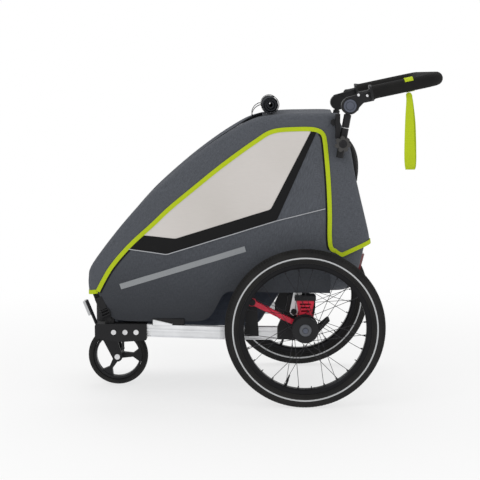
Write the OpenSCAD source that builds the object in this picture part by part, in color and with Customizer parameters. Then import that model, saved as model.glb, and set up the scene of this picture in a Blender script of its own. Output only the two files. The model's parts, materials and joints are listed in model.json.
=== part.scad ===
// Child bicycle trailer with a folding fabric cabin, a stroller wheel and a push handle.
// The front of the trailer is -X, its left side is -Y, and the ground is z = 0.
// Left-hand parts are drawn at -Y, and right-hand parts are their mirror images.

/* [Rear wheels] */
// Outer diameter of a rear tyre
rear_tyre_d = 500; // [494:1:504]
// Width of a rear tyre
rear_tyre_w = 47; // [44:1:50]
// Distance between the middles of the rear tyres
track = 600; // [596:1:610]
// Spokes in each rear wheel, half of them on each flange
spoke_count = 28; // [20:4:36]
// Radius of a spoke
spoke_r = 0.9; // [0.8:0.1:1.2]
// Angle round the hub between the two ends of a spoke
spoke_lead = 46; // [30:1:50]

/* [Front wheel] */
// Outer diameter of the front tyre
front_tyre_d = 200; // [190:1:204]
// Width of the front tyre
front_tyre_w = 34; // [28:1:38]
// Distance from the front axle back to the rear axle
wheelbase = 613; // [605:1:620]
// Distance from the swivel axis back to the front axle
caster_trail = 51; // [40:1:60]

/* [Chassis] */
// Height of the aluminium side rails
rail_h = 40; // [36:1:42]
// Width of the aluminium side rails
rail_w = 22; // [20:1:23]
// Bore radius of the tow bar socket
tow_bore_r = 11; // [9:0.5:12]
// Depth of the tow bar socket
tow_bore_depth = 100; // [80:5:110]
// Height of a suspension elastomer
elastomer_h = 44; // [40:1:45]

/* [Cabin] */
// Width over the side panels of the cabin
cabin_w = 480; // [478:1:482]
// Thickness of the cabin's fabric panels
fabric_t = 3; // [2:0.5:3.5]
// Width of the seat
seat_w = 300; // [260:10:320]
// Radius of the rolled-up front cover
roll_r = 27; // [22:1:27]

/* [Upper frame] */
// Radius of the roll bar's tube
hoop_r = 11; // [9:0.5:11]
// Distance from the middle plane to each side of the roll bar
hoop_y = 205; // [203:1:206]
// Width of a rear post
post_w = 26; // [20:1:28]

/* [Push handle] */
// Radius of the sliding handle tubes
slide_r = 9; // [7:0.5:9]
// Radius of the handle arm's tube
arm_r = 11; // [9:0.5:12]
// Radius of the padded grip
grip_r = 21; // [18:1:22]
// Radius of the tilt joints
tilt_r = 26; // [22:1:28]
// Lean of the sliding tubes from upright, in degrees
slide_lean = 10; // [8:1:12]
// Rise of the handle arm from level, in degrees
arm_rise = 12; // [8:1:16]

/* [Hidden] */
$fn = 48;

// Clearances: a running fit on radius, and the gap between neighbouring pieces
run = 0.05;
gap = 0.5;

// Rear axle, measured from the middle of the whole trailer's length
axle_x = 146;
axle_z = rear_tyre_d / 2;
axle_r = 6;
wheel_y = track / 2;

// Rear wheel
rim_in = 190;
rim_out = 206;
rim_w = 26;
tyre_wall = 4;
flange_r = 41;
flange_t = 4;
flange_out = 24;
flange_in = 26;
hub_r = 18;

// Front wheel and its swivel
front_x = axle_x - wheelbase;
front_z = front_tyre_d / 2;
swivel_x = front_x - caster_trail;
front_rim_in = 72;
front_rim_out = 80;
front_hub_r = 17;
front_hub_w = 40;
front_bolt_r = 5;
fork_in = 26;
fork_out = 35;
fork_top = 203;
crown_t = 8;
swivel_pin_r = 7;
housing_low = 214;
housing_top = 285;
housing_arm_z = 214;

// Chassis
rail_front_x = -352;
rail_bend_x = -120;
rail_rear_x = 60;
rail_front_y = 215;
rail_bend_y = 229;
rail_rear_y = 213;
rail_z = 208;
rail_fall = 1.2;
bracket_front = -516;
bracket_in = 190;
bracket_out = 232;
bracket_low = 198;
bracket_top = 250;
bolt_xs = [-456, -420, -385];
bolt_z = 224;
bolt_r = 3;
bolt_head_r = 8;
fold_pivot = [-470, 264];
fold_pin_r = 4;
lug_r = 12;
ear_t = 3;
crossbar_r = 12;
front_bar = [-400, 222];

// Suspension: arm pivot, elastomer and mounts
arm_pivot = [-19, 326];
arm_pin_r = 6;
arm_in = 244;
arm_out = 262;
arm_rod_r = 6;
carrier_r = 30;
elastomer_x = 148;
elastomer_w = 60;
elastomer_top = 331;
mount_in = 205;
mount_web = 224;
post_pivot = [113, 292];

// Brake pedal, behind the axle beam
pedal_pivot = [184, 222];
pedal_pin_r = 5;
pedal_from = 140;
pedal_to = 200;

// Cabin: corners are [x, z, corner radius], drawn in the plane of the side
nose = [-532, 352, 5];
cabin_corners = [
    nose, [-531, 425, 70], [-330, 672, 500], [-20, 904, 200], [249, 914, 10],
    [258, 885, 30], [290, 800, 150], [304, 715, 120], [345, 590, 200], [356, 512, 8],
    [330, 488, 12], [313, 430, 60], [303, 352, 16], [-20, 350, 8], [-104, 373, 8],
    [-117, 318, 60], [-142, 260, 40], [-458, 258, 12], [-494, 352, 4]
];
window_corners = [
    [-368, 534, 5], [-262, 524, 14], [36, 614, 14], [166, 858, 5], [62, 862, 50],
    [-60, 790, 300], [-270, 624, 300]
];
panel_out = cabin_w / 2;
panel_in = panel_out - fabric_t;
canopy_half = panel_in - fabric_t;
opening_half = 185;
tub_half = 185;
tub_t = 4;
boot_half = 222;

// Seat
seat_front = -330;
seat_rear = -70;
seat_top = 330;
seat_t = 36;
back_foot = [-84, 318];
back_head = [34, 812];
back_t = 32;
strap_w = 25;
strap_t = 3;
buckle_x = -190;
buckle_d = 50;
buckle_t = 16;

// Roll bar: side path from the fold pivot up, over and back, as [x, z]
hoop_path = [fold_pivot, [-500, 412], [-395, 562], [-70, 850], [60, 886], [240, 886]];
hoop_bend = 70;
hoop_front_bar = [-30, 862];
hoop_rear_bar = [232, 886];

// Rear posts lie between the side panels and the roll bar
post_in = 228;
post_out = 235;

// Handle: the tilt pivot, and distances down the sliding tube from it
tilt_pivot = [279, 937];
slide_y = 252;
arm_y = 272;
socket_plate = 19;
socket_from = 70;
socket_to = 162;
knob_at = 118;
collar_r = slide_r + 2.5;
tube_to = 160;
arm_knee = [310, 970];
arm_len = 242;
arm_bend = 50;
grip_from = 36;
strap_from = 152;
tilt_button_r = 12;
star_lobes = 7;
star_r = 25;

function unit(v) = v / norm(v);
function heading(a, b) = atan2(b[1] - a[1], b[0] - a[0]);
function turn(a, b, c) = (heading(b, c) - heading(a, b) + 540) % 360 - 180;

// A closed outline of [x, z, radius] corners, with each corner rounded by an arc
function arc_points(a, b, c, steps) =
    let (u = unit([a[0] - b[0], a[1] - b[1]]), v = unit([c[0] - b[0], c[1] - b[1]]))
    let (half = acos(u * v) / 2, r = b[2])
    let (mid = [b[0], b[1]] + unit(u + v) * r / sin(half))
    let (from = [b[0], b[1]] + u * r / tan(half), to = [b[0], b[1]] + v * r / tan(half))
    let (start = heading(mid, from), sweep = (heading(mid, to) - start + 540) % 360 - 180)
    [for (i = [0 : steps]) mid + r * [cos(start + sweep * i / steps), sin(start + sweep * i / steps)]];
function rounded(corners, steps = 5) =
    let (n = len(corners))
    [for (i = [0 : n - 1])
        each arc_points(corners[(i + n - 1) % n], corners[i], corners[(i + 1) % n], steps)];

// Turns a flat drawing into the plane of the side, and pulls it from y = -from out to y = -to
module side_plate(from, to) {
    translate([0, -from, 0]) rotate([90, 0, 0]) linear_extrude(to - from) children();
}

// A round bar along Y, from y = -from out to y = -to, at [x, z]
module y_bar(p, r, from, to) {
    translate([p[0], -from, p[1]]) rotate([90, 0, 0]) cylinder(r = r, h = to - from);
}

// A round bar between two points
module bar(a, b, r) {
    d = b - a;
    translate(a) rotate([0, acos(d[2] / norm(d)), atan2(d[1], d[0])]) cylinder(r = r, h = norm(d));
}

// A bent round tube in the XY plane: straights and arcs that meet face to face
module bent_tube(path, bend, r) {
    last = len(path) - 1;
    trims = [for (i = [0 : last])
        i == 0 || i == last ? 0 : bend * tan(abs(turn(path[i - 1], path[i], path[i + 1])) / 2)];
    for (i = [0 : last - 1]) {
        way = unit(path[i + 1] - path[i]);
        from = path[i] + way * trims[i];
        to = path[i + 1] - way * trims[i + 1];
        bar([from[0], from[1], 0], [to[0], to[1], 0], r);
    }
    for (i = [1 : last - 1]) {
        a = heading(path[i - 1], path[i]);
        sweep = turn(path[i - 1], path[i], path[i + 1]);
        inward = sweep > 0 ? 90 : -90;
        start = path[i] - unit(path[i] - path[i - 1]) * trims[i];
        centre = start + bend * [cos(a + inward), sin(a + inward)];
        translate([centre[0], centre[1], 0]) rotate([0, 0, a - inward])
            rotate_extrude(angle = sweep) translate([bend, 0]) circle(r);
    }
}

// A flat bar with round ends around a and b, drawn flat
module flat_link(a, b, w) {
    along = unit(b - a) * w / 2;
    side = [-along[1], along[0]];
    r = w / 2 - 0.02;
    polygon(rounded([
        concat(a - along - side, [r]), concat(b + along - side, [r]),
        concat(b + along + side, [r]), concat(a - along + side, [r])
    ], 10));
}

// An open path of [x, z] points with its inner corners rounded to the radius bend
function bent_path(path, bend, steps = 8) =
    let (last = len(path) - 1)
    [path[0],
        for (i = [1 : last - 1])
            each arc_points(path[i - 1], concat(path[i], [bend]), path[i + 1], steps),
        path[last]];

// A band of even width along a path, drawn flat
module flat_band(path, w) {
    last = len(path) - 1;
    way = [for (i = [0 : last]) unit(path[min(i + 1, last)] - path[max(i - 1, 0)])];
    side = [for (d = way) [-d[1], d[0]] * w / 2];
    polygon(concat(
        [for (i = [0 : last]) path[i] + side[i]],
        [for (i = [0 : last]) path[last - i] - side[last - i]]
    ));
}

// ---- Chassis ----

// Distance from the middle plane to the outer face of a rail's rear stretch
function rail_face(x) =
    rail_w / 2 + rail_bend_y
    + (rail_rear_y - rail_bend_y) * (x - rail_bend_x) / (rail_rear_x - rail_bend_x);

module rail_plan(inset, outset) {
    front = rail_front_y + rail_w / 2;
    bend = rail_bend_y + rail_w / 2;
    rear = rail_rear_y + rail_w / 2;
    polygon([
        [rail_front_x, -front - outset], [rail_bend_x, -bend - outset], [rail_rear_x, -rear - outset],
        [rail_rear_x, -rear + inset], [rail_bend_x, -bend + inset], [rail_front_x, -front + inset]
    ]);
}

module left_rail() {
    groove_h = 5;
    groove_depth = 3;
    wall = 2.5;
    color("silver") translate([rail_front_x, 0, rail_z]) rotate([0, rail_fall, 0])
        translate([-rail_front_x, 0, 0]) difference() {
            linear_extrude(rail_h) rail_plan(rail_w, 0);
            translate([0, 0, rail_h * 0.62]) linear_extrude(groove_h) rail_plan(groove_depth, 1);
            translate([0, -groove_depth - wall, wall]) linear_extrude(rail_h / 2 - wall)
                rail_plan(rail_w - groove_depth - 3 * wall, 0);
        }
}

module right_rail() {
    mirror([0, 1, 0]) left_rail();
}

module front_crossbar() {
    color("silver") y_bar(front_bar, crossbar_r, -bracket_in, bracket_in);
}

module seat_crossbar() {
    inner = rail_bend_y - rail_w / 2 - 5;
    color("silver") y_bar([rail_bend_x - 30, 216], crossbar_r - 2, -inner, inner);
}

// Rear crossbar, with an ear and a pin for the brake pedal
module axle_beam() {
    beam = [axle_x, 216];
    color("dimgray") {
        y_bar(beam, crossbar_r + 2, -mount_in, mount_in);
        side_plate(pedal_from - 12, pedal_from - 2) flat_link(beam, pedal_pivot, 20);
        y_bar(pedal_pivot, pedal_pin_r, pedal_from - 6, pedal_to + 4);
    }
}

module left_front_bracket() {
    ear_h = 15;
    body_len = rail_front_x - bracket_front;
    pin_end = hoop_y + lug_r + ear_t;
    color("#202020") y_bar(fold_pivot, fold_pin_r, bracket_in, pin_end);
    color("#202020") y_bar(fold_pivot, fold_pin_r + 3, pin_end, pin_end + 4);
    color("#202020") difference() {
        union() {
            side_plate(bracket_in, bracket_out) polygon(rounded([
                [bracket_front, bracket_low + 6, 6], [bracket_front, bracket_top, 8],
                [rail_front_x, bracket_top, 1], [rail_front_x, bracket_low, 4],
                [bracket_front + body_len / 2, bracket_low - 6, 30]
            ]));
            on_reflector_lean() translate([4 + gap, 0, -42]) cube([4, 34, 88]);
            for (y = [bracket_in, hoop_y + lug_r])
                side_plate(y, y + ear_t) {
                    translate(fold_pivot) circle(ear_h - 1);
                    translate([fold_pivot[0] - ear_h + 1, bracket_top - 2])
                        square([2 * ear_h - 2, fold_pivot[1] - bracket_top + 2]);
                }
        }
        translate([bracket_front - 1, -rail_front_y - 2, bolt_z - 2]) rotate([0, 90, 0])
            cylinder(r = tow_bore_r, h = tow_bore_depth + 1);
        for (x = bolt_xs)
            y_bar([x, bolt_z], bolt_r + run, bracket_out - 3, bracket_out + 1);
    }
}

module right_front_bracket() {
    mirror([0, 1, 0]) left_front_bracket();
}

module bracket_bolts() {
    head_t = 4;
    color("lightgray") for (side = [0, 1]) mirror([0, side, 0])
        for (x = bolt_xs) {
            y_bar([x, bolt_z], bolt_r, bracket_out - 2.5, bracket_out);
            y_bar([x, bolt_z], bolt_head_r, bracket_out, bracket_out + head_t);
        }
}

// Casting on the rail's end: a web, a shelf over the elastomer, and the rear post's hinge pin
module left_suspension_mount() {
    shelf_t = 14;
    shelf_from = elastomer_x - elastomer_w / 2 - 3;
    shelf_to = elastomer_x + elastomer_w / 2 + 3;
    shelf_low = elastomer_top + gap;
    color("#202020") {
        side_plate(mount_in, mount_web) polygon(rounded([
            [rail_rear_x + 1.2, 200, 3], [rail_rear_x + 1.2, 238, 10], [88, 300, 20],
            [96, shelf_low + shelf_t, 6], [shelf_to, shelf_low + shelf_t, 6], [shelf_to, 300, 20],
            [axle_x + 24, 240, 20], [axle_x + 24, 200, 8]
        ]));
        translate([shelf_to - 34, -arm_out - 2, shelf_low])
            cube([34, arm_out + 2 - mount_web, shelf_t]);
        translate([shelf_from, -arm_out - 2, shelf_low])
            cube([shelf_to - shelf_from - 34, arm_out + 2 - post_out - 3, shelf_t]);
        y_bar(post_pivot, 5, mount_web, post_out + 4);
        y_bar(post_pivot, 9, post_out + gap, post_out + 4);
    }
}

module right_suspension_mount() {
    mirror([0, 1, 0]) left_suspension_mount();
}

// Plates on the rails' outer faces that carry the front ends of the suspension arms
module arm_pivot_brackets() {
    foot = 214;
    pad_top = 244;
    plate_in = 236.5;
    plate_out = 243;
    front = arm_pivot[0] - 24;
    rear = arm_pivot[0] + 22;
    color("#202020") for (side = [0, 1]) mirror([0, side, 0]) {
        side_plate(plate_in, plate_out) polygon(rounded([
            [front, foot, 4], [arm_pivot[0] - 16, arm_pivot[1] + 14, 12],
            [arm_pivot[0] + 14, arm_pivot[1] + 14, 12], [rear, foot, 4]
        ]));
        translate([0, 0, foot + 2]) linear_extrude(pad_top - foot - 2) polygon([
            [front + 4, -rail_face(front + 4) - gap], [rear - 4, -rail_face(rear - 4) - gap],
            [rear - 4, -plate_in - 1], [front + 4, -plate_in - 1]
        ]);
        y_bar(arm_pivot, arm_pin_r, plate_out - 1, arm_out + 3);
        y_bar(arm_pivot, arm_pin_r + 5, arm_out + gap, arm_out + 4);
    }
}

module swivel_housing() {
    color("#202020") difference() {
        union() {
            translate([swivel_x, 0, housing_low]) cylinder(r = 20, h = housing_top - housing_low);
            translate([swivel_x, -18, housing_arm_z]) cube([front_bar[0] - 16 - swivel_x, 36, 19]);
            y_bar(front_bar, crossbar_r + 4, -30, 30);
        }
        translate([swivel_x, 0, housing_low - 1])
            cylinder(r = swivel_pin_r + run, h = housing_top - housing_low + 2);
        y_bar(front_bar, crossbar_r + 0.2, -40, 40);
        translate([front_bar[0] - 30, -50, housing_arm_z + 19]) cube([60, 100, 20]);
    }
}

// ---- Suspension and rear wheels ----

module left_arm() {
    eye_r = 13;
    seat_z = elastomer_top - elastomer_h - gap;
    seat_w = 52;
    arm_foot = [112, 262];
    color("crimson") difference() {
        side_plate(arm_in, arm_out) {
            flat_link(arm_pivot, arm_foot, 15);
            translate(arm_pivot) circle(eye_r);
            translate([axle_x, axle_z]) circle(carrier_r);
            translate([elastomer_x - seat_w / 2, axle_z]) square([seat_w, seat_z - axle_z]);
        }
        y_bar(arm_pivot, arm_pin_r + run, arm_in - 1, arm_out + 1);
        y_bar([axle_x, axle_z], axle_r + run, arm_in - 1, arm_out + 1);
    }
}

module right_arm() {
    mirror([0, 1, 0]) left_arm();
}

module left_elastomer() {
    slot_h = 5;
    slots = 3;
    low = elastomer_top - elastomer_h;
    top_half = elastomer_w / 2 - 2;
    low_half = elastomer_w / 2 - 10;
    color("crimson") side_plate(arm_in + 1, arm_out - 1) difference() {
        polygon(rounded([
            [elastomer_x - top_half, elastomer_top, 4], [elastomer_x + top_half, elastomer_top, 4],
            [elastomer_x + low_half, low, 3], [elastomer_x - low_half, low, 3]
        ]));
        for (i = [1 : slots]) {
            half = low_half - 9 + 2 * i;
            translate([elastomer_x - half, low + i * elastomer_h / (slots + 1) - slot_h / 2])
                square([2 * half, slot_h]);
        }
    }
}

module right_elastomer() {
    mirror([0, 1, 0]) left_elastomer();
}

module left_axle() {
    tip = wheel_y + flange_out + 4;
    pocket = 9;
    color("lightgray") difference() {
        union() {
            y_bar([axle_x, axle_z], axle_r, arm_in, tip);
            y_bar([axle_x, axle_z], 11, arm_in - 4, arm_in);
        }
        y_bar([axle_x, axle_z], 4 + run, tip - pocket, tip + 1);
    }
}

module right_axle() {
    mirror([0, 1, 0]) left_axle();
}

module left_release_button() {
    tip = wheel_y + flange_out + 4;
    travel = 3;
    color("gray") {
        y_bar([axle_x, axle_z], 4, tip - 5, tip + travel);
        y_bar([axle_x, axle_z], 8, tip + travel, tip + travel + 4);
    }
}

module right_release_button() {
    mirror([0, 1, 0]) left_release_button();
}

module left_hub() {
    inner = wheel_y - flange_in;
    outer = wheel_y + flange_out;
    color("#1c1c1c") difference() {
        union() {
            y_bar([axle_x, axle_z], hub_r, inner - 8, outer);
            y_bar([axle_x, axle_z], flange_r, inner - flange_t / 2, inner + flange_t / 2);
            y_bar([axle_x, axle_z], flange_r, outer - flange_t, outer);
        }
        y_bar([axle_x, axle_z], axle_r + run, inner - 9, outer + 1);
    }
}

module right_hub() {
    mirror([0, 1, 0]) left_hub();
}

// Crossed spokes: every other spoke of a flange leads and the next one trails
module left_spokes() {
    per_flange = spoke_count / 2;
    step = 360 / per_flange;
    color("gray") for (flange = [0, 1], i = [0 : per_flange - 1]) {
        lead = i % 2 == 0 ? spoke_lead : -spoke_lead;
        lift = i % 2 == 0 ? 1.5 : -1.5;
        a = (i + flange / 2) * step;
        y = flange == 0 ? wheel_y + flange_out - flange_t / 2 : wheel_y - flange_in;
        foot = flange_r + gap;
        top = rim_in - gap;
        bar([axle_x + foot * cos(a), -y - lift, axle_z + foot * sin(a)],
            [axle_x + top * cos(a + lead), -wheel_y - lift, axle_z + top * sin(a + lead)],
            spoke_r, $fn = 6);
    }
}

module right_spokes() {
    mirror([0, 1, 0]) left_spokes();
}

// Turns a profile of [radius, y] about an axle along Y
module wheel_turned(x, y, z) {
    translate([x, y, z]) rotate([90, 0, 0]) rotate_extrude($fn = 96) children();
}

module left_rim() {
    wall = 3;
    color("#1c1c1c") wheel_turned(axle_x, -wheel_y, axle_z) polygon([
        [rim_in, -rim_w / 2 + 4], [rim_in + 5, -rim_w / 2], [rim_out, -rim_w / 2],
        [rim_out, -rim_w / 2 + wall], [rim_in + wall + 3, -rim_w / 2 + wall],
        [rim_in + wall + 3, rim_w / 2 - wall], [rim_out, rim_w / 2 - wall],
        [rim_out, rim_w / 2], [rim_in + 5, rim_w / 2], [rim_in, rim_w / 2 - 4]
    ]);
}

module right_rim() {
    mirror([0, 1, 0]) left_rim();
}

module left_tyre() {
    section = rear_tyre_w / 2;
    centre = rear_tyre_d / 2 - section;
    color("#151515") wheel_turned(axle_x, -wheel_y, axle_z) difference() {
        translate([centre, 0]) circle(section);
        translate([centre, 0]) circle(section - tyre_wall);
        translate([0, -section]) square([rim_out + gap, 2 * section]);
    }
}

module right_tyre() {
    mirror([0, 1, 0]) left_tyre();
}

module brake_pedal() {
    color("#202020") difference() {
        union() {
            side_plate(pedal_from + 10, pedal_to) polygon(rounded([
                [pedal_pivot[0] + 4, pedal_pivot[1] + 9, 3], [224, 262, 4], [230, 256, 3],
                [pedal_pivot[0] + 9, pedal_pivot[1] - 6, 3]
            ]));
            y_bar(pedal_pivot, 11, pedal_from, pedal_to);
        }
        y_bar(pedal_pivot, pedal_pin_r + run, pedal_from - 1, pedal_to + 1);
    }
}

// ---- Front wheel ----

module fork() {
    crown_low = fork_top;
    color("#202020") {
        difference() {
            for (side = [0, 1]) mirror([0, side, 0]) side_plate(fork_in, fork_out) {
                translate([front_x, front_z]) circle(17);
                polygon([
                    [swivel_x - 20, crown_low + 1], [swivel_x + 37, crown_low + 1],
                    [front_x + 17, front_z + 3], [front_x - 16, front_z - 5]
                ]);
            }
            y_bar([front_x, front_z], front_bolt_r + run, -fork_out - 1, fork_out + 1);
        }
        translate([swivel_x - 20, -fork_out, crown_low]) cube([57, 2 * fork_out, crown_t]);
        translate([swivel_x, 0, crown_low + 1]) cylinder(r = 15, h = housing_low - crown_low - 1 - gap);
        translate([swivel_x, 0, crown_low + 1]) cylinder(r = swivel_pin_r, h = housing_top + 4 - crown_low);
        translate([swivel_x, 0, housing_top + gap]) cylinder(r = 14, h = 16);
    }
}

module front_axle_bolt() {
    color("lightgray") {
        y_bar([front_x, front_z], front_bolt_r, -fork_out, fork_out);
        y_bar([front_x, front_z], 9, fork_out, fork_out + 4);
        y_bar([front_x, front_z], 9, -fork_out - 4, -fork_out);
    }
}

module front_rim() {
    rim_half = front_tyre_w / 2 - 5;
    spokes = 3;
    spoke_from = front_hub_r - 4;
    spoke_half = 6;
    flare = 24;
    color("#202020") difference() {
        union() {
            y_bar([front_x, front_z], front_hub_r, -front_hub_w / 2, front_hub_w / 2);
            wheel_turned(front_x, 0, front_z) translate([front_rim_in, -rim_half])
                square([front_rim_out - front_rim_in, 2 * rim_half]);
            side_plate(-rim_half + 3, rim_half - 3) translate([front_x, front_z])
                for (i = [0 : spokes - 1]) rotate(i * 360 / spokes) polygon([
                    [spoke_from, spoke_half + 4], [front_rim_in - 22, spoke_half],
                    [front_rim_in + 2, flare], [front_rim_in + 2, -flare],
                    [front_rim_in - 22, -spoke_half], [spoke_from, -spoke_half - 4]
                ]);
        }
        y_bar([front_x, front_z], front_bolt_r + run, -front_hub_w, front_hub_w);
    }
}

module front_tyre() {
    half = front_tyre_w / 2;
    crown = front_tyre_d / 2;
    color("#151515") wheel_turned(front_x, 0, front_z) intersection() {
        translate([front_rim_out + gap / 2, -half]) square([crown - front_rim_out, 2 * half]);
        translate([crown - half - 6, 0]) union() {
            circle(half);
            translate([-half, -half]) square([half + 6, 2 * half]);
            translate([6, 0]) circle(half);
        }
    }
}

// ---- Cabin ----

module cabin_side() {
    polygon(rounded(cabin_corners));
}

module left_side_panel() {
    color("slategray") side_plate(panel_in, panel_out) difference() {
        cabin_side();
        polygon(rounded(window_corners));
        translate(hoop_rear_bar) circle(hoop_r + 2);
    }
}

module right_side_panel() {
    mirror([0, 1, 0]) left_side_panel();
}

module side_windows() {
    color("gainsboro") for (side = [0, 1]) mirror([0, side, 0])
        side_plate(panel_in + 1, panel_out - 0.5) offset(delta = -0.4) polygon(rounded(window_corners));
}

// Front edges, roof and back, as one skin that is open in front
module canopy() {
    strip_end = -440;
    flap_z = 505;
    opening_rear = -10;
    color("slategray") difference() {
        side_plate(-canopy_half, canopy_half) difference() {
            cabin_side();
            offset(delta = -fabric_t) cabin_side();
            translate([strip_end, 200]) square([870, flap_z - 200]);
            translate([nose[0] - 10, 200]) square([strip_end - nose[0] + 20, nose[1] - 194]);
        }
        translate([opening_rear - 700, -opening_half, 300]) cube([700, 2 * opening_half, 700]);
    }
}

module tub() {
    outer = [[-480, 352], [-456, 238], [-4, 232], [78, 343]];
    inner = [[70, 352], [-8, 232 + tub_t + 2], [-453, 238 + tub_t], [-476, 352]];
    color("#3c424c") {
        side_plate(-tub_half, tub_half) polygon(concat(outer, [[80, 352]], inner));
        for (y = [-tub_half, tub_half - tub_t])
            side_plate(y, y + tub_t) polygon(concat(outer, [[80, 352]]));
    }
}

module luggage_box() {
    shape = [[-14, 353.5, 6], [299, 353.5, 14], [309, 430, 40], [325, 484, 10], [338, 500, 1], [28, 500, 1]];
    hollow = [[-8, 357, 5], [296, 357, 12], [305, 430, 40], [321, 486, 10], [334, 510, 1], [33, 510, 1]];
    color("slategray") difference() {
        side_plate(-boot_half, boot_half) polygon(rounded(shape));
        side_plate(-boot_half + fabric_t, boot_half - fabric_t) polygon(rounded(hollow));
    }
}

module seat_cushion() {
    color("#3a3f46") side_plate(-seat_w / 2, seat_w / 2) polygon(rounded([
        [seat_front, seat_top - 6, 14], [seat_rear - 30, seat_top, 10],
        [seat_rear - 30, seat_top - seat_t, 10], [seat_front, seat_top - seat_t, 10]
    ]));
}

module seat_back() {
    way = unit(back_head - back_foot);
    across = [way[1], -way[0]] * back_t;
    color("#3a3f46") side_plate(-seat_w / 2, seat_w / 2) polygon(rounded([
        [back_foot[0], back_foot[1], 8], [back_head[0], back_head[1], 12],
        concat(back_head + across, [12]), concat(back_foot + across, [8])
    ]));
}

module harness_straps() {
    way = unit(back_head - back_foot);
    ahead = [-way[1], way[0]];
    low = back_foot + way * 120 + ahead * 2;
    high = back_foot + way * 400 + ahead * 2;
    lap_z = seat_top + 2;
    color("#26292e") {
        for (y = [-85, 85 - strap_w])
            side_plate(y, y + strap_w) polygon([low, high, high + ahead * strap_t, low + ahead * strap_t]);
        for (y = [-130, 130 - strap_w])
            translate([buckle_x + 40, y, lap_z]) cube([50, strap_w, strap_t]);
        for (side = [0, 1]) mirror([0, side, 0])
            translate([buckle_x - 12, buckle_d / 2 + gap, lap_z]) cube([strap_w, 80, strap_t]);
        translate([buckle_x - buckle_d / 2 - 80, -strap_w / 2, lap_z]) cube([80 - gap, strap_w, strap_t]);
    }
}

module harness_buckle() {
    color("#151515") translate([buckle_x, 0, seat_top + 1]) difference() {
        translate([-buckle_d / 2, -buckle_d / 2, 0]) cube([buckle_d, buckle_d, buckle_t]);
        translate([0, 0, 6]) cylinder(r = 9.1, h = buckle_t);
    }
}

module buckle_button() {
    color("crimson") translate([buckle_x, 0, seat_top + 11]) cylinder(r = 9, h = buckle_t - 9);
}

module rolled_cover() {
    color("#22252a") y_bar([38, 937], roll_r, -200, 200);
}

// Puts its children on the leaning plane of the front reflector, with z up the plane
module on_reflector_lean() {
    translate([-532, -222, 276]) rotate([0, -22, 0]) children();
}

module front_reflectors() {
    color("whitesmoke") for (side = [0, 1]) mirror([0, side, 0])
        on_reflector_lean() translate([-4, 0, 0]) cube([8, 34, 48]);
}

module rear_reflectors() {
    color("red") for (side = [0, 1]) mirror([0, side, 0])
        translate([316, -191, 420]) rotate([0, 14, 0]) cube([8, 36, 52]);
}

// ---- Upper frame ----

module roll_bar() {
    bar_w = 2 * hoop_r;
    color("silver") difference() {
        union() {
            for (side = [-1, 1])
                side_plate(side * hoop_y - hoop_r, side * hoop_y + hoop_r) {
                    flat_band(bent_path(hoop_path, hoop_bend), bar_w);
                    translate(fold_pivot) circle(lug_r);
                }
            y_bar(hoop_front_bar, hoop_r - 2, -hoop_y, hoop_y);
            y_bar(hoop_rear_bar, hoop_r - 2, -slide_y + socket_plate / 2, slide_y - socket_plate / 2);
        }
        y_bar(fold_pivot, fold_pin_r + run, -hoop_y - 20, hoop_y + 20);
    }
}

module left_rear_post() {
    color("silver") difference() {
        side_plate(post_in, post_out) flat_link(post_pivot, hoop_rear_bar, post_w);
        y_bar(post_pivot, 5 + run, post_in - 1, post_out + 1);
        y_bar(hoop_rear_bar, hoop_r - 1, post_in - 1, post_out + 1);
    }
}

module right_rear_post() {
    mirror([0, 1, 0]) left_rear_post();
}

// ---- Push handle ----

// Puts its children on the sliding tube's axis, with z pointing up the tube and 0 at the tilt pivot
module on_slide() {
    translate([tilt_pivot[0], -slide_y, tilt_pivot[1]]) rotate([0, slide_lean, 0]) children();
}

module handle_sockets() {
    sleeve_r = slide_r + 2.5;
    plate = [14, socket_plate, 74];
    plate_at = [237, -slide_y - socket_plate / 2, 838];
    color("#202020") for (side = [0, 1]) mirror([0, side, 0]) difference() {
        union() {
            on_slide() translate([0, 0, -socket_to]) cylinder(r = sleeve_r, h = socket_to - socket_from);
            translate(plate_at) cube(plate);
            y_bar(hoop_rear_bar, hoop_r - 1, slide_y - socket_plate / 2, slide_y);
            on_slide() translate([0, 0, -knob_at]) rotate([90, 0, 0]) cylinder(r = 11, h = 20);
        }
        on_slide() translate([0, 0, -tube_to - 1]) cylinder(r = slide_r + run, h = tube_to);
        on_slide() translate([0, 0, -socket_from]) cylinder(r = collar_r + gap, h = socket_from);
        on_slide() translate([0, 0, -knob_at]) rotate([90, 0, 0]) cylinder(r = 4 + run, h = 30);
    }
}

// The two tubes that slide in the sockets
module handle_tubes() {
    color("silver") for (side = [0, 1]) mirror([0, side, 0])
        on_slide() translate([0, 0, -tube_to]) cylinder(r = slide_r, h = tube_to - socket_from + 2);
}

// A collar on the top of each tube with the inner half of the tilt joint
module tilt_sockets() {
    plug_r = slide_r - 1;
    color("#202020") for (side = [0, 1]) mirror([0, side, 0]) {
        on_slide() translate([0, 0, -socket_from + 2 + gap])
            cylinder(r = collar_r, h = socket_from - tilt_r - 4);
        on_slide() translate([0, 0, -tilt_r - 6]) cylinder(r = plug_r, h = 12);
        y_bar(tilt_pivot, tilt_r, slide_y - 9, slide_y + 10);
    }
}

module star_knob_at() {
    on_slide() translate([0, 0, -knob_at]) rotate([90, 0, 0]) children();
}

module left_star_knob() {
    lobe_r = 7;
    color("#202020") star_knob_at() {
        translate([0, 0, 20 + gap]) {
            cylinder(r = star_r - lobe_r, h = 14);
            for (i = [0 : star_lobes - 1]) rotate(i * 360 / star_lobes)
                translate([star_r - lobe_r, 0, 0]) cylinder(r = lobe_r, h = 14);
        }
        translate([0, 0, slide_r + 1]) cylinder(r = 4, h = 14);
    }
}

module right_star_knob() {
    mirror([0, 1, 0]) left_star_knob();
}

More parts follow.
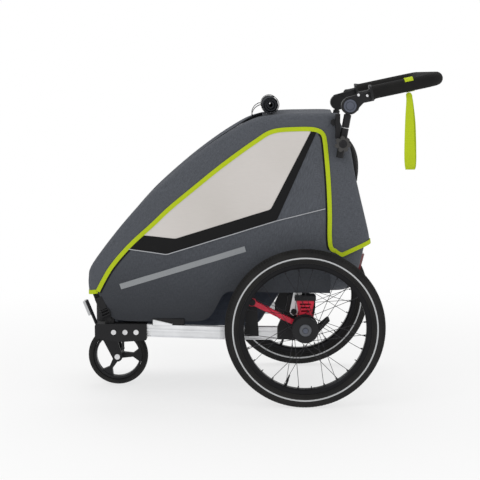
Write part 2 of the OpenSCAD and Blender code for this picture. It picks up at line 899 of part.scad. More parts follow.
// Puts its children in the plane of the handle arm, with x along the arm from its knee
module on_arm() {
    translate([arm_knee[0], 0, arm_knee[1]]) rotate([0, -arm_rise, 0]) children();
}

module arm_loop(from, r) {
    bent_tube([[from, -arm_y], [arm_len, -arm_y], [arm_len, arm_y], [from, arm_y]], arm_bend, r);
}

module handle_arm() {
    disc_in = slide_y + 10 + gap;
    disc_out = arm_y + 12;
    color("#202020") {
        on_arm() arm_loop(0, arm_r);
        for (side = [0, 1]) mirror([0, side, 0]) {
            translate([arm_knee[0], -arm_y, arm_knee[1]]) sphere(arm_r + 1);
            difference() {
                union() {
                    bar([tilt_pivot[0], -arm_y, tilt_pivot[1]], [arm_knee[0], -arm_y, arm_knee[1]], arm_r - 2);
                    y_bar(tilt_pivot, tilt_r, disc_in, disc_out);
                }
                y_bar(tilt_pivot, tilt_button_r + 0.1, disc_out - 8, disc_out + 1);
            }
        }
    }
}

module grip() {
    color("#262626") on_arm() difference() {
        arm_loop(grip_from, grip_r);
        arm_loop(grip_from - 1, arm_r + 0.1);
    }
}

module left_tilt_button() {
    outer = arm_y + 12;
    color("slategray") y_bar(tilt_pivot, tilt_button_r, outer - 3, outer + 3);
}

module right_tilt_button() {
    mirror([0, 1, 0]) left_tilt_button();
}

// Wrist strap: a loop of webbing that swings on its rounded top, under the grip
module wrist_strap() {
    hang = 232;
    head_r = 9;
    top = [
        arm_knee[0] + strap_from * cos(arm_rise),
        arm_knee[1] + strap_from * sin(arm_rise) - grip_r - head_r - 2
    ];
    color("yellowgreen") {
        y_bar(top, head_r, arm_y - 2, arm_y + 2);
        side_plate(arm_y - 1.5, arm_y + 1.5) polygon([
            top - [head_r - 2, 2], top + [head_r - 2, -2],
            top + [26, -hang], top - [10, hang]
        ]);
    }
}

left_rail();
right_rail();
front_crossbar();
seat_crossbar();
axle_beam();
left_front_bracket();
right_front_bracket();
bracket_bolts();
left_suspension_mount();
right_suspension_mount();
arm_pivot_brackets();
swivel_housing();
tub();
left_side_panel();
right_side_panel();
side_windows();
canopy();
luggage_box();
seat_cushion();
seat_back();
harness_straps();
harness_buckle();
buckle_button();
rolled_cover();
front_reflectors();
rear_reflectors();
roll_bar();
handle_sockets();
left_rear_post();
right_rear_post();
left_arm();
right_arm();
left_elastomer();
right_elastomer();
left_axle();
right_axle();
left_hub();
right_hub();
left_spokes();
right_spokes();
left_rim();
right_rim();
left_tyre();
right_tyre();
left_release_button();
right_release_button();
fork();
front_axle_bolt();
front_rim();
front_tyre();
brake_pedal();
handle_tubes();
tilt_sockets();
left_star_knob();
right_star_knob();
handle_arm();
grip();
left_tilt_button();
right_tilt_button();
wrist_strap();
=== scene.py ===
"""A child bicycle trailer: a folding fabric cabin on two sprung wheels, a stroller wheel and a push handle.

The front is -X, the left side is -Y, and lengths are in metres. Outlines are lists of (x, z) in millimetres.
"""

import bisect
import json
import math
from contextlib import contextmanager

import bmesh
import bpy
from mathutils import Matrix, Vector, noise


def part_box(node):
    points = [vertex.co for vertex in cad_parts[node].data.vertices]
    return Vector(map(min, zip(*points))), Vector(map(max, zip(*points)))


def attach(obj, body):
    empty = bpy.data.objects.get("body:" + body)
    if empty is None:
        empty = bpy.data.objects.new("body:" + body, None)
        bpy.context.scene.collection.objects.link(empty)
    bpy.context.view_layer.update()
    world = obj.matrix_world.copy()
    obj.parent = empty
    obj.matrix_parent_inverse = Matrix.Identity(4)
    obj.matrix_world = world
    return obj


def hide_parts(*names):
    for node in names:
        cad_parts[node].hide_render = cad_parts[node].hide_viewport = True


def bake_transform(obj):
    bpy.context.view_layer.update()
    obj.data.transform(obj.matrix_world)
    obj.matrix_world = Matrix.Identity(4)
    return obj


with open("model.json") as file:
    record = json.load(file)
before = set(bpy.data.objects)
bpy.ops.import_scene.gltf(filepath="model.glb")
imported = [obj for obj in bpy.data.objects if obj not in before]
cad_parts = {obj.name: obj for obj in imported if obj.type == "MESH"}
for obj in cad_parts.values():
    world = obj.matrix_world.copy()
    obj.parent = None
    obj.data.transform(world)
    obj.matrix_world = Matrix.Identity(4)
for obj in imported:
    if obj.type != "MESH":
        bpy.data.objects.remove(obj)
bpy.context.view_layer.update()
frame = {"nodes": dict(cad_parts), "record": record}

MM = 0.001
SIDES = {"left": -1, "right": 1}

# ---- Places that come from the frame ----


def middle(node):
    low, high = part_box(node)
    return (low + high) / 2


axle = middle("left_tyre")
tyre_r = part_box("left_tyre")[1].z / 2
front_axle = middle("front_tyre")
panel_out = -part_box("left_side_panel")[0].y
seat_low, seat_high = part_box("seat_cushion")
roll_middle = middle("rolled_cover")
roll_r = (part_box("rolled_cover")[1].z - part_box("rolled_cover")[0].z) / 2
tilt_middle = middle("left_tilt_button")
knob_middle = middle("left_star_knob")

# ---- Outlines of the cabin's fabric, front to back ----

EDGE = [(-532, 352), (-534, 396), (-520, 444), (-434, 557), (-364, 636), (-303, 695), (-228, 759),
        (-156, 814), (-85, 861), (-20, 894), (57, 910), (150, 914), (238, 914), (251, 906), (255, 883),
        (284, 814), (302, 725), (318, 657), (333, 596), (346, 541), (350, 514)]
LIME = [(-503, 357), (-482, 397), (-455, 440), (-400, 503), (-330, 567), (-274, 620), (-200, 681),
        (-130, 738), (-65, 787), (-5, 829), (45, 858), (125, 865), (180, 863), (199, 850), (205, 832),
        (211, 780), (217, 715), (221, 650), (223, 590), (223, 530), (227, 490)]
PANEL_FOOT = [(-503, 353), (-492, 330), (-478, 300), (-463, 266), (-420, 259), (-180, 258), (-150, 270),
              (-118, 333), (-105, 360), (-80, 356), (223, 352)]
WINDOW = [(-365, 535), (-258, 524), (39, 616), (162, 857)]
BAND = [(-404, 491), (-286, 474), (57, 580), (180, 857)]
BAND_MIDDLE = [(-388, 513), (-272, 499), (48, 598), (171, 857)]
PIPING = [(-404, 491), (-286, 474), (57, 580), (209, 618)]


def between(a, b, share):
    return a + (b - a) * share


def rise(value, low, high):
    """Goes smoothly from 0 at low to 1 at high."""
    share = min(max((value - low) / (high - low), 0), 1)
    return share * share * (3 - 2 * share)


def along(keys, share):
    """The point a share of the way along the smooth curve through the keys."""
    last = len(keys) - 1
    place = min(max(share, 0), 1) * last
    i = min(int(place), last - 1)
    t = place - i
    a, b, c, d = (Vector(keys[min(max(i + k, 0), last)]) for k in (-1, 0, 1, 2))
    return (2 * b + (c - a) * t + (2 * a - 5 * b + 4 * c - d) * t * t + (3 * b - a - 3 * c + d) * t**3) / 2


def softened(keys, bend, step=3):
    """Points every few millimetres along straight lines between the keys, with the corners rounded."""
    fine = []
    for start, end in zip(keys, keys[1:]):
        start, end = Vector(start), Vector(end)
        parts = max(int((end - start).length / step), 1)
        fine += [start.lerp(end, i / parts) for i in range(parts)]
    fine.append(Vector(keys[-1]))
    reach = int(bend / step)
    smooth = []
    for i in range(len(fine)):
        span = min(reach, i, len(fine) - 1 - i)
        near = fine[i - span:i + span + 1]
        smooth.append(sum(near, near[0] * 0) / len(near))
    return smooth


def height_over(points):
    """A function that gives the height of a line of (x, z) points at any x."""
    ordered = sorted((p[0] * MM, p[1] * MM) for p in points)
    xs = [p[0] for p in ordered]

    def height(x):
        i = min(max(bisect.bisect(xs, x), 1), len(xs) - 1)
        (x0, z0), (x1, z1) = ordered[i - 1], ordered[i]
        return between(z0, z1, min(max((x - x0) / max(x1 - x0, 1e-9), 0), 1))

    return height


lime_height = height_over([along(LIME, i / 400) for i in range(401)])
foot_height = height_over(softened(PANEL_FOOT, 24))
window_height = height_over(softened(WINDOW, 8))
band_height = height_over(softened(BAND, 10))
band_middle_height = height_over(softened(BAND_MIDDLE, 10))


def side_out(x, z):
    """How far the side fabric stands out from the middle plane."""
    belly = 5 * math.exp(-(((x + 0.13) / 0.30) ** 2) - ((z - 0.43) / 0.13) ** 2)
    tuck = 13 * (1 - rise(z, 0.258, 0.325))
    slack = rise(0.60 - z, -0.1, 0.12) * (1 - rise(x, 0.10, 0.24))
    ripple = 1.1 * math.sin(31 * x + 52 * z + 1.4 * math.sin(17 * z)) + 0.7 * math.sin(64 * x - 23 * z)
    return panel_out + (1.2 + belly - tuck + slack * ripple) * MM


def on_side(x, z, lift=0.0):
    return Vector((x, -side_out(x, z) - lift, z))


# ---- Modelling helpers ----


def only(piece):
    bpy.ops.object.select_all(action="DESELECT")
    piece.select_set(True)
    bpy.context.view_layer.objects.active = piece


def named(name):
    """The object just added, with its place moved into its mesh."""
    piece = bpy.context.object
    piece.name = piece.data.name = name
    only(piece)
    bpy.ops.object.transform_apply(location=True, rotation=True, scale=True)
    return piece


@contextmanager
def editing(piece, elements="FACE"):
    only(piece)
    bpy.ops.object.mode_set(mode="EDIT")
    bpy.ops.mesh.select_mode(type=elements)
    bpy.ops.mesh.select_all(action="SELECT")
    yield
    bpy.ops.object.mode_set(mode="OBJECT")


def pick(piece, wanted):
    """Selects the faces whose middle and normal are wanted, and says how many there are."""
    mesh = bmesh.from_edit_mesh(piece.data)
    bpy.ops.mesh.select_all(action="DESELECT")
    mesh.faces.ensure_lookup_table()
    count = 0
    for face in mesh.faces:
        if wanted(face.calc_center_median(), face.normal):
            face.select_set(True)
            count += 1
    bmesh.update_edit_mesh(piece.data)
    return count


def modify(piece, kind, **settings):
    modifier = piece.modifiers.new(kind.title(), kind)
    for key, value in settings.items():
        setattr(modifier, key, value)
    only(piece)
    bpy.ops.object.modifier_apply(modifier=modifier.name)
    return piece


def smooth(piece, angle=40):
    only(piece)
    bpy.ops.object.shade_smooth_by_angle(angle=math.radians(angle))
    return piece


def tidy(piece):
    """Merges doubled points and turns the faces outwards."""
    with editing(piece):
        bpy.ops.mesh.remove_doubles(threshold=0.00002)
        bpy.ops.mesh.normals_make_consistent(inside=False)
    return piece


def block(name, low, high, bevel=0.002, turn=None, segments=3):
    """A box between two corners with rounded edges. turn is (angle in degrees, pivot) about the Y axis."""
    low, high = Vector(low), Vector(high)
    bpy.ops.mesh.primitive_cube_add(size=1, location=(low + high) / 2, scale=high - low)
    piece = named(name)
    modify(piece, "BEVEL", width=bevel, segments=segments)
    if turn:
        lean(piece, *turn)
    return smooth(piece)


def lean(piece, angle, pivot):
    """Turns a finished mesh about a line along Y, in degrees."""
    pivot = Vector(pivot)
    turned_by = Matrix.Rotation(math.radians(angle), 4, "Y")
    piece.data.transform(Matrix.Translation(pivot) @ turned_by @ Matrix.Translation(-pivot))


def turned(name, profile, centre, steps=48, direction=-1, axis="Y"):
    """A solid of revolution. The profile is (radius, distance out along the axis) from the centre."""
    mesh = bpy.data.meshes.new(name)
    out = Vector((0, direction, 0)) if axis == "Y" else Vector((0, 0, direction))
    side = Vector((1, 0, 0))
    points = [Vector(centre) + side * r + out * d for r, d in profile]
    mesh.from_pydata(points, [(i, i + 1) for i in range(len(points) - 1)], [])
    piece = bpy.data.objects.new(name, mesh)
    bpy.context.scene.collection.objects.link(piece)
    with editing(piece, "VERT"):
        bpy.ops.mesh.spin(steps=steps, angle=math.tau, center=centre, axis=out)
    tidy(piece)
    return smooth(piece)


def tube(name, points, radius, sides=12, radii=None, closed=False):
    """A round tube along 3-D points, with its ends closed."""
    line = bpy.data.curves.new(name, "CURVE")
    line.dimensions = "3D"
    line.bevel_depth = radius
    line.bevel_resolution = max(sides // 4 - 1, 0)
    line.use_fill_caps = not closed
    spline = line.splines.new("POLY")
    spline.points.add(len(points) - 1)
    for i, (point, place) in enumerate(zip(spline.points, points)):
        point.co = (*place, 1)
        point.radius = radii[i] if radii else 1
    spline.use_cyclic_u = closed
    piece = bpy.data.objects.new(name, line)
    bpy.context.scene.collection.objects.link(piece)
    only(piece)
    bpy.ops.object.convert(target="MESH")
    piece = bpy.context.object
    piece.data.name = name
    tidy(piece)
    return smooth(piece, 60)


def laid(name, place, parts, size, keep=None):
    """A grid whose points are put by place(u, v), with a UV map in metres. keep(u, v) leaves faces out."""
    bpy.ops.mesh.primitive_grid_add(x_subdivisions=parts[0], y_subdivisions=parts[1], size=2)
    piece = named(name)
    if keep:
        with editing(piece):
            pick(piece, lambda m, n: not keep((m.x + 1) / 2, (m.y + 1) / 2))
            bpy.ops.mesh.delete(type="FACE")
    for loop in piece.data.uv_layers.active.data:
        loop.uv = (loop.uv[0] * size[0], loop.uv[1] * size[1])
    for vertex in piece.data.vertices:
        vertex.co = place((vertex.co.x + 1) / 2, (vertex.co.y + 1) / 2)
    return piece


def face_out(piece, towards):
    """Turns an open sheet so that its faces look mostly along a direction."""
    facing = sum((p.normal * p.area for p in piece.data.polygons), Vector()).dot(Vector(towards))
    if facing < 0:
        with editing(piece):
            bpy.ops.mesh.flip_normals()
    return piece


def thicken(piece, thickness, towards=(0, -1, 0), offset=-1.0):
    face_out(piece, towards)
    return modify(piece, "SOLIDIFY", thickness=thickness, offset=offset, use_even_offset=False)


def mirrored(piece, name):
    """A copy on the other side of the middle plane."""
    only(piece)
    bpy.ops.object.duplicate()
    copy = named(name)
    copy.data.transform(Matrix.Scale(-1, 4, (0, 1, 0)))
    with editing(copy):
        bpy.ops.mesh.flip_normals()
    return copy


def joined(name, pieces):
    only(pieces[0])
    for piece in pieces:
        piece.select_set(True)
    bpy.ops.object.join()
    return named(name)


def strip_on_side(name, line, width, lift, crown=0.0006, thickness=0.0012):
    """A flat strip laid on the side fabric along a line of (x, z) points in metres."""
    count = len(line)

    def place(u, v):
        at = u * (count - 1)
        i = min(int(at), count - 2)
        point = line[i].lerp(line[i + 1], at - i)
        way = (line[min(i + 2, count - 1)] - line[max(i - 1, 0)]).normalized()
        out = Vector((-way.y, way.x)) * (v - 0.5) * width
        spot = point + out
        return on_side(spot.x, spot.y, lift + crown * (1 - (2 * v - 1) ** 2))

    length = sum((b - a).length for a, b in zip(line, line[1:]))
    piece = laid(name, place, (max(count - 1, 8), 4), (length, width))
    return smooth(thicken(piece, thickness), 60)


def strap(name, keys, width, side, thickness=0.0016, parts=48, widths=None):
    """Webbing through 3-D points in millimetres, its width along a side direction."""
    side = Vector(side).normalized()

    def place(u, v):
        wide = along([(w,) * 2 for w in widths], u)[0] * MM if widths else width
        return along(keys, u) * MM + side * (v - 0.5) * wide

    length = sum((along(keys, (i + 1) / parts) - along(keys, i / parts)).length for i in range(parts)) * MM
    piece = laid(name, place, (parts, 4), (length, width))
    return smooth(modify(piece, "SOLIDIFY", thickness=thickness, offset=0.0), 60)


# ---- Shader helpers ----


class Value:
    """A shader socket that Python's arithmetic works on, with one Math node for each operation."""

    def __init__(self, paint, socket):
        self.paint, self.socket = paint, socket

    def math(self, operation, *values):
        return self.paint.add("Math", {"operation": operation}, dict(enumerate(values)))

    def __add__(self, other):
        return self.math("ADD", self, other)

    def __sub__(self, other):
        return self.math("SUBTRACT", self, other)

    def __rsub__(self, other):
        return self.math("SUBTRACT", other, self)

    def __mul__(self, other):
        return self.math("MULTIPLY", self, other)

    def __truediv__(self, other):
        return self.math("DIVIDE", self, other)

    __radd__ = __add__
    __rmul__ = __mul__


class Paint:
    """One material: a Principled shader and the nodes that feed it."""

    def __init__(self, name, **constants):
        self.material = bpy.data.materials.new(name)
        self.material.use_nodes = True
        self.tree = self.material.node_tree
        self.shader = self.tree.nodes["Principled BSDF"]
        for socket, value in constants.items():
            self.shader.inputs[socket.replace("_", " ")].default_value = value

    def add(self, kind, settings=None, inputs=None, output=0):
        node = self.tree.nodes.new("ShaderNode" + kind)
        for key, value in (settings or {}).items():
            if key == "stops":
                ramp = node.color_ramp.elements
                while len(ramp) < len(value):
                    ramp.new(0.5)
                for element, (place, colour) in zip(ramp, value):
                    element.position, element.color = place, colour
            else:
                setattr(node, key, value)
        for key, value in (inputs or {}).items():
            if isinstance(value, Value):
                self.tree.links.new(value.socket, node.inputs[key])
            else:
                node.inputs[key].default_value = value
        return Value(self, node.outputs[output])

    def place(self, kind="Object", scale=(1, 1, 1)):
        spot = self.add("TexCoord", output=kind)
        return self.add("Mapping", inputs={"Vector": spot, "Scale": scale})

    def axes(self, vector):
        return [self.add("SeparateXYZ", inputs={0: vector}, output=i) for i in range(3)]

    def cloud(self, vector, scale, detail=3.0, rough=0.5):
        inputs = {"Vector": vector, "Scale": scale, "Detail": detail, "Roughness": rough}
        return self.add("TexNoise", inputs=inputs)

    def between(self, share, low, high):
        """A number that goes from low to high as the share goes from 0.3 to 0.7."""
        return self.add("MapRange", inputs={0: share, 1: 0.3, 2: 0.7, 3: low, 4: high})

    def mix(self, share, a, b):
        return self.add("Mix", {"data_type": "RGBA"}, {0: share, 6: a, 7: b}, output=2)

    def bump(self, height, distance, strength=1.0):
        return self.add("Bump", inputs={"Height": height, "Distance": distance, "Strength": strength})

    def feed(self, **links):
        for socket, value in links.items():
            self.tree.links.new(value.socket, self.shader.inputs[socket.replace("_", " ")])
        return self.material


def colour(red, green, blue, shade=1.0):
    """A colour given as it looks on a screen, 0 to 255, as the shader needs it."""
    linear = [(c / 255 / 12.92) if c / 255 <= 0.04045 else ((c / 255 + 0.055) / 1.055) ** 2.4
              for c in (red, green, blue)]
    return (*[c * shade for c in linear], 1.0)


def cloth(name, tone, contrast=0.28, pitch=0.0014, roughness=0.86, source="UV", sheen=0.05, shaded_low=False):
    """Woven cloth: crossing threads, melange flecks and patches of tone. One can also carry painted shade that
    darkens it towards the bottom.
    """
    paint = Paint(name, Sheen_Weight=sheen, Sheen_Roughness=0.5, Specular_IOR_Level=0.15)
    spot = paint.place(source)
    x, y, z = paint.axes(spot)
    across = y if source == "UV" else z
    turns = math.tau / pitch
    warp = (x * turns).math("SINE", x * turns)
    weft = (across * turns).math("SINE", across * turns)
    weave = warp * weft
    flecks = paint.cloud(paint.place(source, (70, 420, 420)), 1.0, 3.0, 0.6)
    threads = paint.cloud(paint.place(source, (420, 60, 60)), 1.0, 3.0, 0.6)
    patches = paint.cloud(spot, 7.0, 4.0)
    light = colour(*tone, 1 + contrast)
    dark = colour(*tone, 1 - contrast)
    base = paint.mix(paint.between(flecks * 0.5 + threads * 0.5, 0, 1), dark, light)
    worn_and_shaded = paint.mix(paint.between(patches, 0.0, 0.22), base, colour(*tone, 1.35))
    height = weave * 0.5 + flecks * 0.6
    # Painted shade: the colour grows darker towards the bottom, from about 0.58 m down to 0.26 m.
    if shaded_low:
        height_above = paint.axes(paint.place())[2]
        lit_share = paint.add("MapRange", inputs={0: height_above, 1: 0.26, 2: 0.58, 3: 0.1, 4: 1.0})
        worn_and_shaded = paint.mix(lit_share, colour(*tone, 0.34), worn_and_shaded)
    return paint.feed(
        Base_Color=worn_and_shaded,
        Roughness=paint.between(patches, roughness - 0.06, roughness + 0.06),
        Normal=paint.bump(height, 0.0006, 0.55),
    )


def webbing(name, tone, pitch=0.0022, sheen=0.03):
    """Narrow woven tape with ribs across it."""
    paint = Paint(name, Sheen_Weight=sheen, Specular_IOR_Level=0.15)
    spot = paint.place("UV")
    x, y, z = paint.axes(spot)
    turns = math.tau / pitch
    ribs = (x * turns).math("SINE", x * turns + (y * turns * 0.5).math("SINE", y * turns * 0.5) * 1.2)
    flecks = paint.cloud(spot, 900.0, 2.0)
    base = paint.mix(paint.between(flecks, 0, 1), colour(*tone, 0.8), colour(*tone, 1.15))
    shaded = paint.mix(paint.between(ribs * 0.5 + 0.5, 0.0, 0.22), base, colour(*tone, 0.62))
    return paint.feed(
        Base_Color=shaded,
        Roughness=paint.between(flecks, 0.66, 0.82),
        Normal=paint.bump(ribs * 0.5 + flecks * 0.3, 0.0005, 0.6),
    )


def moulded(name, tone, roughness=0.5, grain=900.0, depth=0.00012, spread=0.12, metal=0.0, coat=0.0,
            shine=0.25):
    """Moulded plastic or cast and coated metal: fine grain, rubbed patches and a little dust."""
    paint = Paint(name, Metallic=metal, Coat_Weight=coat, Coat_Roughness=0.15, Specular_IOR_Level=shine)
    spot = paint.place()
    fine = paint.cloud(spot, grain, 2.0)
    rubbed = paint.cloud(spot, 22.0, 5.0, 0.6)
    base = paint.mix(paint.between(rubbed, 0, 1), colour(*tone, 0.86), colour(*tone, 1.22))
    return paint.feed(
        Base_Color=base,
        Roughness=paint.between(rubbed * 0.6 + fine * 0.4, roughness - spread, roughness + spread),
        Normal=paint.bump(fine, depth, 0.5),
    )


def metal(name, tone, roughness=0.28, grain=(30, 900, 900), spread=0.09, metallic=1.0):
    """Drawn or brushed metal, with fine lines along the grain and faint handling marks."""
    paint = Paint(name, Metallic=metallic)
    lines = paint.cloud(paint.place("Object", grain), 1.0, 3.0)
    marks = paint.cloud(paint.place(), 14.0, 6.0, 0.65)
    base = paint.mix(paint.between(marks, 0, 1), colour(*tone, 0.88), colour(*tone, 1.04))
    return paint.feed(
        Base_Color=base,
        Roughness=paint.between(lines * 0.5 + marks * 0.5, roughness - spread, roughness + spread),
        Normal=paint.bump(lines, 0.00008, 0.35),
    )


def rubber(name, tone=(26, 26, 27), roughness=0.72, scale=240.0):
    """Tyre rubber: matt, with lighter dusty patches here and there, and fine moulding marks."""
    paint = Paint(name, Specular_IOR_Level=0.2)
    spot = paint.place()
    fine = paint.cloud(spot, scale, 4.0)
    dust = paint.cloud(spot, 18.0, 5.0, 0.65)
    dusted = colour(tone[0] + 14, tone[1] + 13, tone[2] + 11)
    base = paint.mix(paint.between(dust, 0, 1), colour(*tone, 0.8), dusted)
    return paint.feed(
        Base_Color=base,
        Roughness=paint.between(dust, roughness - 0.1, roughness + 0.12),
        Normal=paint.bump(fine, 0.0003, 0.5),
    )


def window_film(name):
    """Clear vinyl, a little milky, with slow waves and light scuffs."""
    paint = Paint(name, Specular_IOR_Level=0.4, Coat_Weight=0.3, Coat_Roughness=0.2)
    spot = paint.place()
    waves = paint.cloud(spot, 5.0, 1.0)
    scuffs = paint.cloud(paint.place("Object", (60, 60, 400)), 1.0, 5.0, 0.7)
    base = paint.mix(paint.between(waves, 0, 1), colour(202, 197, 192), colour(211, 206, 202))
    return paint.feed(
        Base_Color=base,
        Roughness=paint.between(scuffs, 0.34, 0.5),
        Alpha=paint.between(scuffs, 0.93, 0.97),
        Normal=paint.bump(waves, 0.004, 0.3),
    )


def prisms(name, tone, roughness=0.12):
    """Reflector plastic: rows of small prisms under a clear face."""
    paint = Paint(name, Coat_Weight=1.0, Coat_Roughness=0.05, Specular_IOR_Level=0.8)
    cells = paint.add("TexVoronoi", {"feature": "F1", "distance": "CHEBYCHEV"},
                      {"Vector": paint.place("Object", (260, 260, 260)), "Scale": 1.0, "Randomness": 0.0})
    base = paint.mix(paint.between(cells, 0, 1), colour(*tone, 0.55), colour(*tone, 1.3))
    return paint.feed(
        Base_Color=base,
        Roughness=paint.between(cells, roughness, roughness + 0.18),
        Normal=paint.bump(cells, 0.0012, 0.8),
    )


def make_materials():
    """Every material by its name: the function that makes it, the name, and that function's settings."""
    recipes = [
        (cloth, "cover_fabric", (83, 86, 92), 0.42),
        # side_fabric: the cover cloth with painted shade darkening towards the bottom.
        (cloth, "side_fabric", (83, 86, 92), 0.42, 0.0014, 0.86, "UV", 0.05, True),
        (cloth, "tub_fabric", (55, 60, 70), 0.22, 0.0018),
        (cloth, "seat_fabric", (58, 61, 67), 0.3, 0.002, 0.9, "Object", 0.2),
        (cloth, "rolled_fabric", (50, 52, 56), 0.5, 0.0016),
        (cloth, "band_fabric", (21, 21, 22), 0.18, 0.0012, 0.7),
        (webbing, "lime_webbing", (184, 202, 34)),
        (webbing, "webbing", (27, 27, 29)),
        (webbing, "piping", (176, 178, 182), 0.003),
        (webbing, "reflective_tape", (150, 153, 156), 0.0012, 0.3),
        (metal, "aluminium", (236, 237, 239), 0.34, (12, 260, 260), 0.05, 0.45),
        (moulded, "bolt_steel", (214, 214, 216), 0.32, 900.0, 0.00005, 0.08, 0.45, 0.0, 0.6),
        (metal, "spoke_steel", (52, 52, 55), 0.34, (400, 400, 400)),
        (moulded, "black_casting", (25, 25, 27), 0.52, 1100.0),
        (moulded, "black_plastic", (24, 24, 26), 0.42, 1500.0, 0.00008),
        (moulded, "knob_plastic", (62, 61, 60), 0.5, 1200.0),
        (moulded, "button_grey", (84, 88, 100), 0.5),
        (moulded, "hub_grey", (84, 86, 91), 0.36),
        (moulded, "red_plastic", (190, 26, 40), 0.35, 1500.0, 0.00006),
        (moulded, "red_coating", (196, 26, 56), 0.34, 800.0, 0.00008, 0.1, 0.0, 0.4),
        (moulded, "red_elastomer", (205, 44, 66), 0.5, 600.0),
        (prisms, "clear_reflector", (212, 214, 216)),
        (prisms, "red_reflector", (132, 12, 24)),
        (moulded, "rim_black", (26, 26, 28), 0.32, 1800.0, 0.00004, 0.08, 0.6),
        (rubber, "tyre_rubber"),
        (rubber, "grip_foam", (19, 19, 20), 0.88, 700.0),
        (window_film, "window_film"),
    ]
    return {name: make(name, *settings) for make, name, *settings in recipes}


paints = make_materials()


def finish(piece, body, slot, material=None, replaces=()):
    """Gives a rigid piece its material, slot and body."""
    piece.data.materials.clear()
    piece.data.materials.append(paints[material or slot])
    if replaces:
        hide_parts(*replaces)
    if body:
        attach(piece, body)
    return piece


def finish_fabric(piece, slot, material=None, replaces=()):
    """Gives a piece of the cabin's fabric its material and bakes its place into its mesh."""
    finish(piece, None, slot, material, replaces)
    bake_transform(piece)
    return piece


def both_sides(piece, stem, slot, material=None, replaces=("", "")):
    """Finishes a left-hand piece of fabric and its mirror image."""
    right = mirrored(piece, "right_" + stem)
    for part, node in ((piece, replaces[0]), (right, replaces[1])):
        finish_fabric(part, slot, material, [node] if node else [])
    return piece, right


# ---- Carried-over nodes ----


def paint_nodes():
    """Each carried-over node takes the material of its own slot in the record."""
    for part in frame["record"]["subparts"]:
        for holder in frame["nodes"][part["node"]].material_slots:
            holder.material = paints[part["material_slot"]]


# ---- Camera, lights and floor ----


def make_camera():
    bpy.ops.object.camera_add(location=(-0.020, -4.109, 1.029),
                              rotation=(math.radians(82.5), 0, math.radians(0.54)))
    camera = bpy.context.object
    camera.data.lens = 93.75
    camera.data.sensor_width = 36
    bpy.context.scene.camera = camera


def area_light(name, place, target, size, watts):
    way = Vector(target) - Vector(place)
    bpy.ops.object.light_add(type="AREA", location=place, rotation=way.to_track_quat("-Z", "Y").to_euler())
    light = bpy.context.object
    light.name = name
    light.data.shape = "RECTANGLE"
    light.data.size, light.data.size_y = size
    light.data.energy = watts


def blend_to_white(tree, shader, share, output):
    """Mixes a shader with plain white light by a share."""
    white = tree.nodes.new("ShaderNodeEmission")
    mix = tree.nodes.new("ShaderNodeMixShader")
    tree.links.new(share, mix.inputs[0])
    tree.links.new(shader.outputs[0], mix.inputs[1])
    tree.links.new(white.outputs[0], mix.inputs[2])
    tree.links.new(mix.outputs[0], output.inputs["Surface"])


def make_studio():
    bpy.ops.mesh.primitive_plane_add(size=80, location=(0, 0, -0.0005))
    floor = named("floor")
    paint = Paint("pale_floor", Roughness=0.6, Specular_IOR_Level=0.15)
    tone = paint.cloud(paint.place(), 0.6, 2.0)
    paint.feed(Base_Color=paint.mix(tone, colour(236, 236, 236), colour(241, 241, 241)))
    away = paint.add("VectorMath", {"operation": "LENGTH"}, {0: paint.place()}, 1)
    far = paint.add("MapRange", {"interpolation_type": "SMOOTHSTEP"}, {0: away, 1: 0.7, 2: 2.2, 3: 0.7})
    blend_to_white(paint.tree, paint.shader, far.socket, paint.tree.nodes["Material Output"])
    floor.data.materials.append(paint.material)
    world = bpy.data.worlds.new("studio")
    world.use_nodes = True
    tree = world.node_tree
    sky = tree.nodes["Background"]
    sky.inputs["Color"].default_value = (1, 1, 1, 1)
    sky.inputs["Strength"].default_value = 0.62
    seen = tree.nodes.new("ShaderNodeLightPath").outputs["Is Camera Ray"]
    blend_to_white(tree, sky, seen, tree.nodes["World Output"])
    bpy.context.scene.world = world
    bpy.context.scene.view_settings.view_transform = "Standard"
    target = (0, 0, 0.45)
    area_light("key", (-2.2, -3.2, 3.4), target, (2.4, 1.8), 46)
    area_light("fill", (2.8, -2.4, 2.0), target, (2.0, 2.0), 16)
    area_light("top", (0.2, 1.2, 3.6), target, (3.0, 2.0), 46)


# ---- Cabin fabric ----

# Thickness of the cover, width of its lime edging, and how far the edging stands off the cover
COVER_THICK = 0.0022
LIME_WIDE = 0.0135
LIME_LIFT = 0.0022
# The hood's grid along the cabin, and how many of its rows are open in the middle at the front
HOOD_ROWS = 120
OPEN_ROWS = 57
# Radius of the hood's corners, and half the width of the front opening
CORNER_R = 0.026
OPENING = 0.185
# Shares of the way from the foot of a side to the middle at which the wall, corner and lip end
WALL, CORNER, LIP = 0.30, 0.46, 0.58


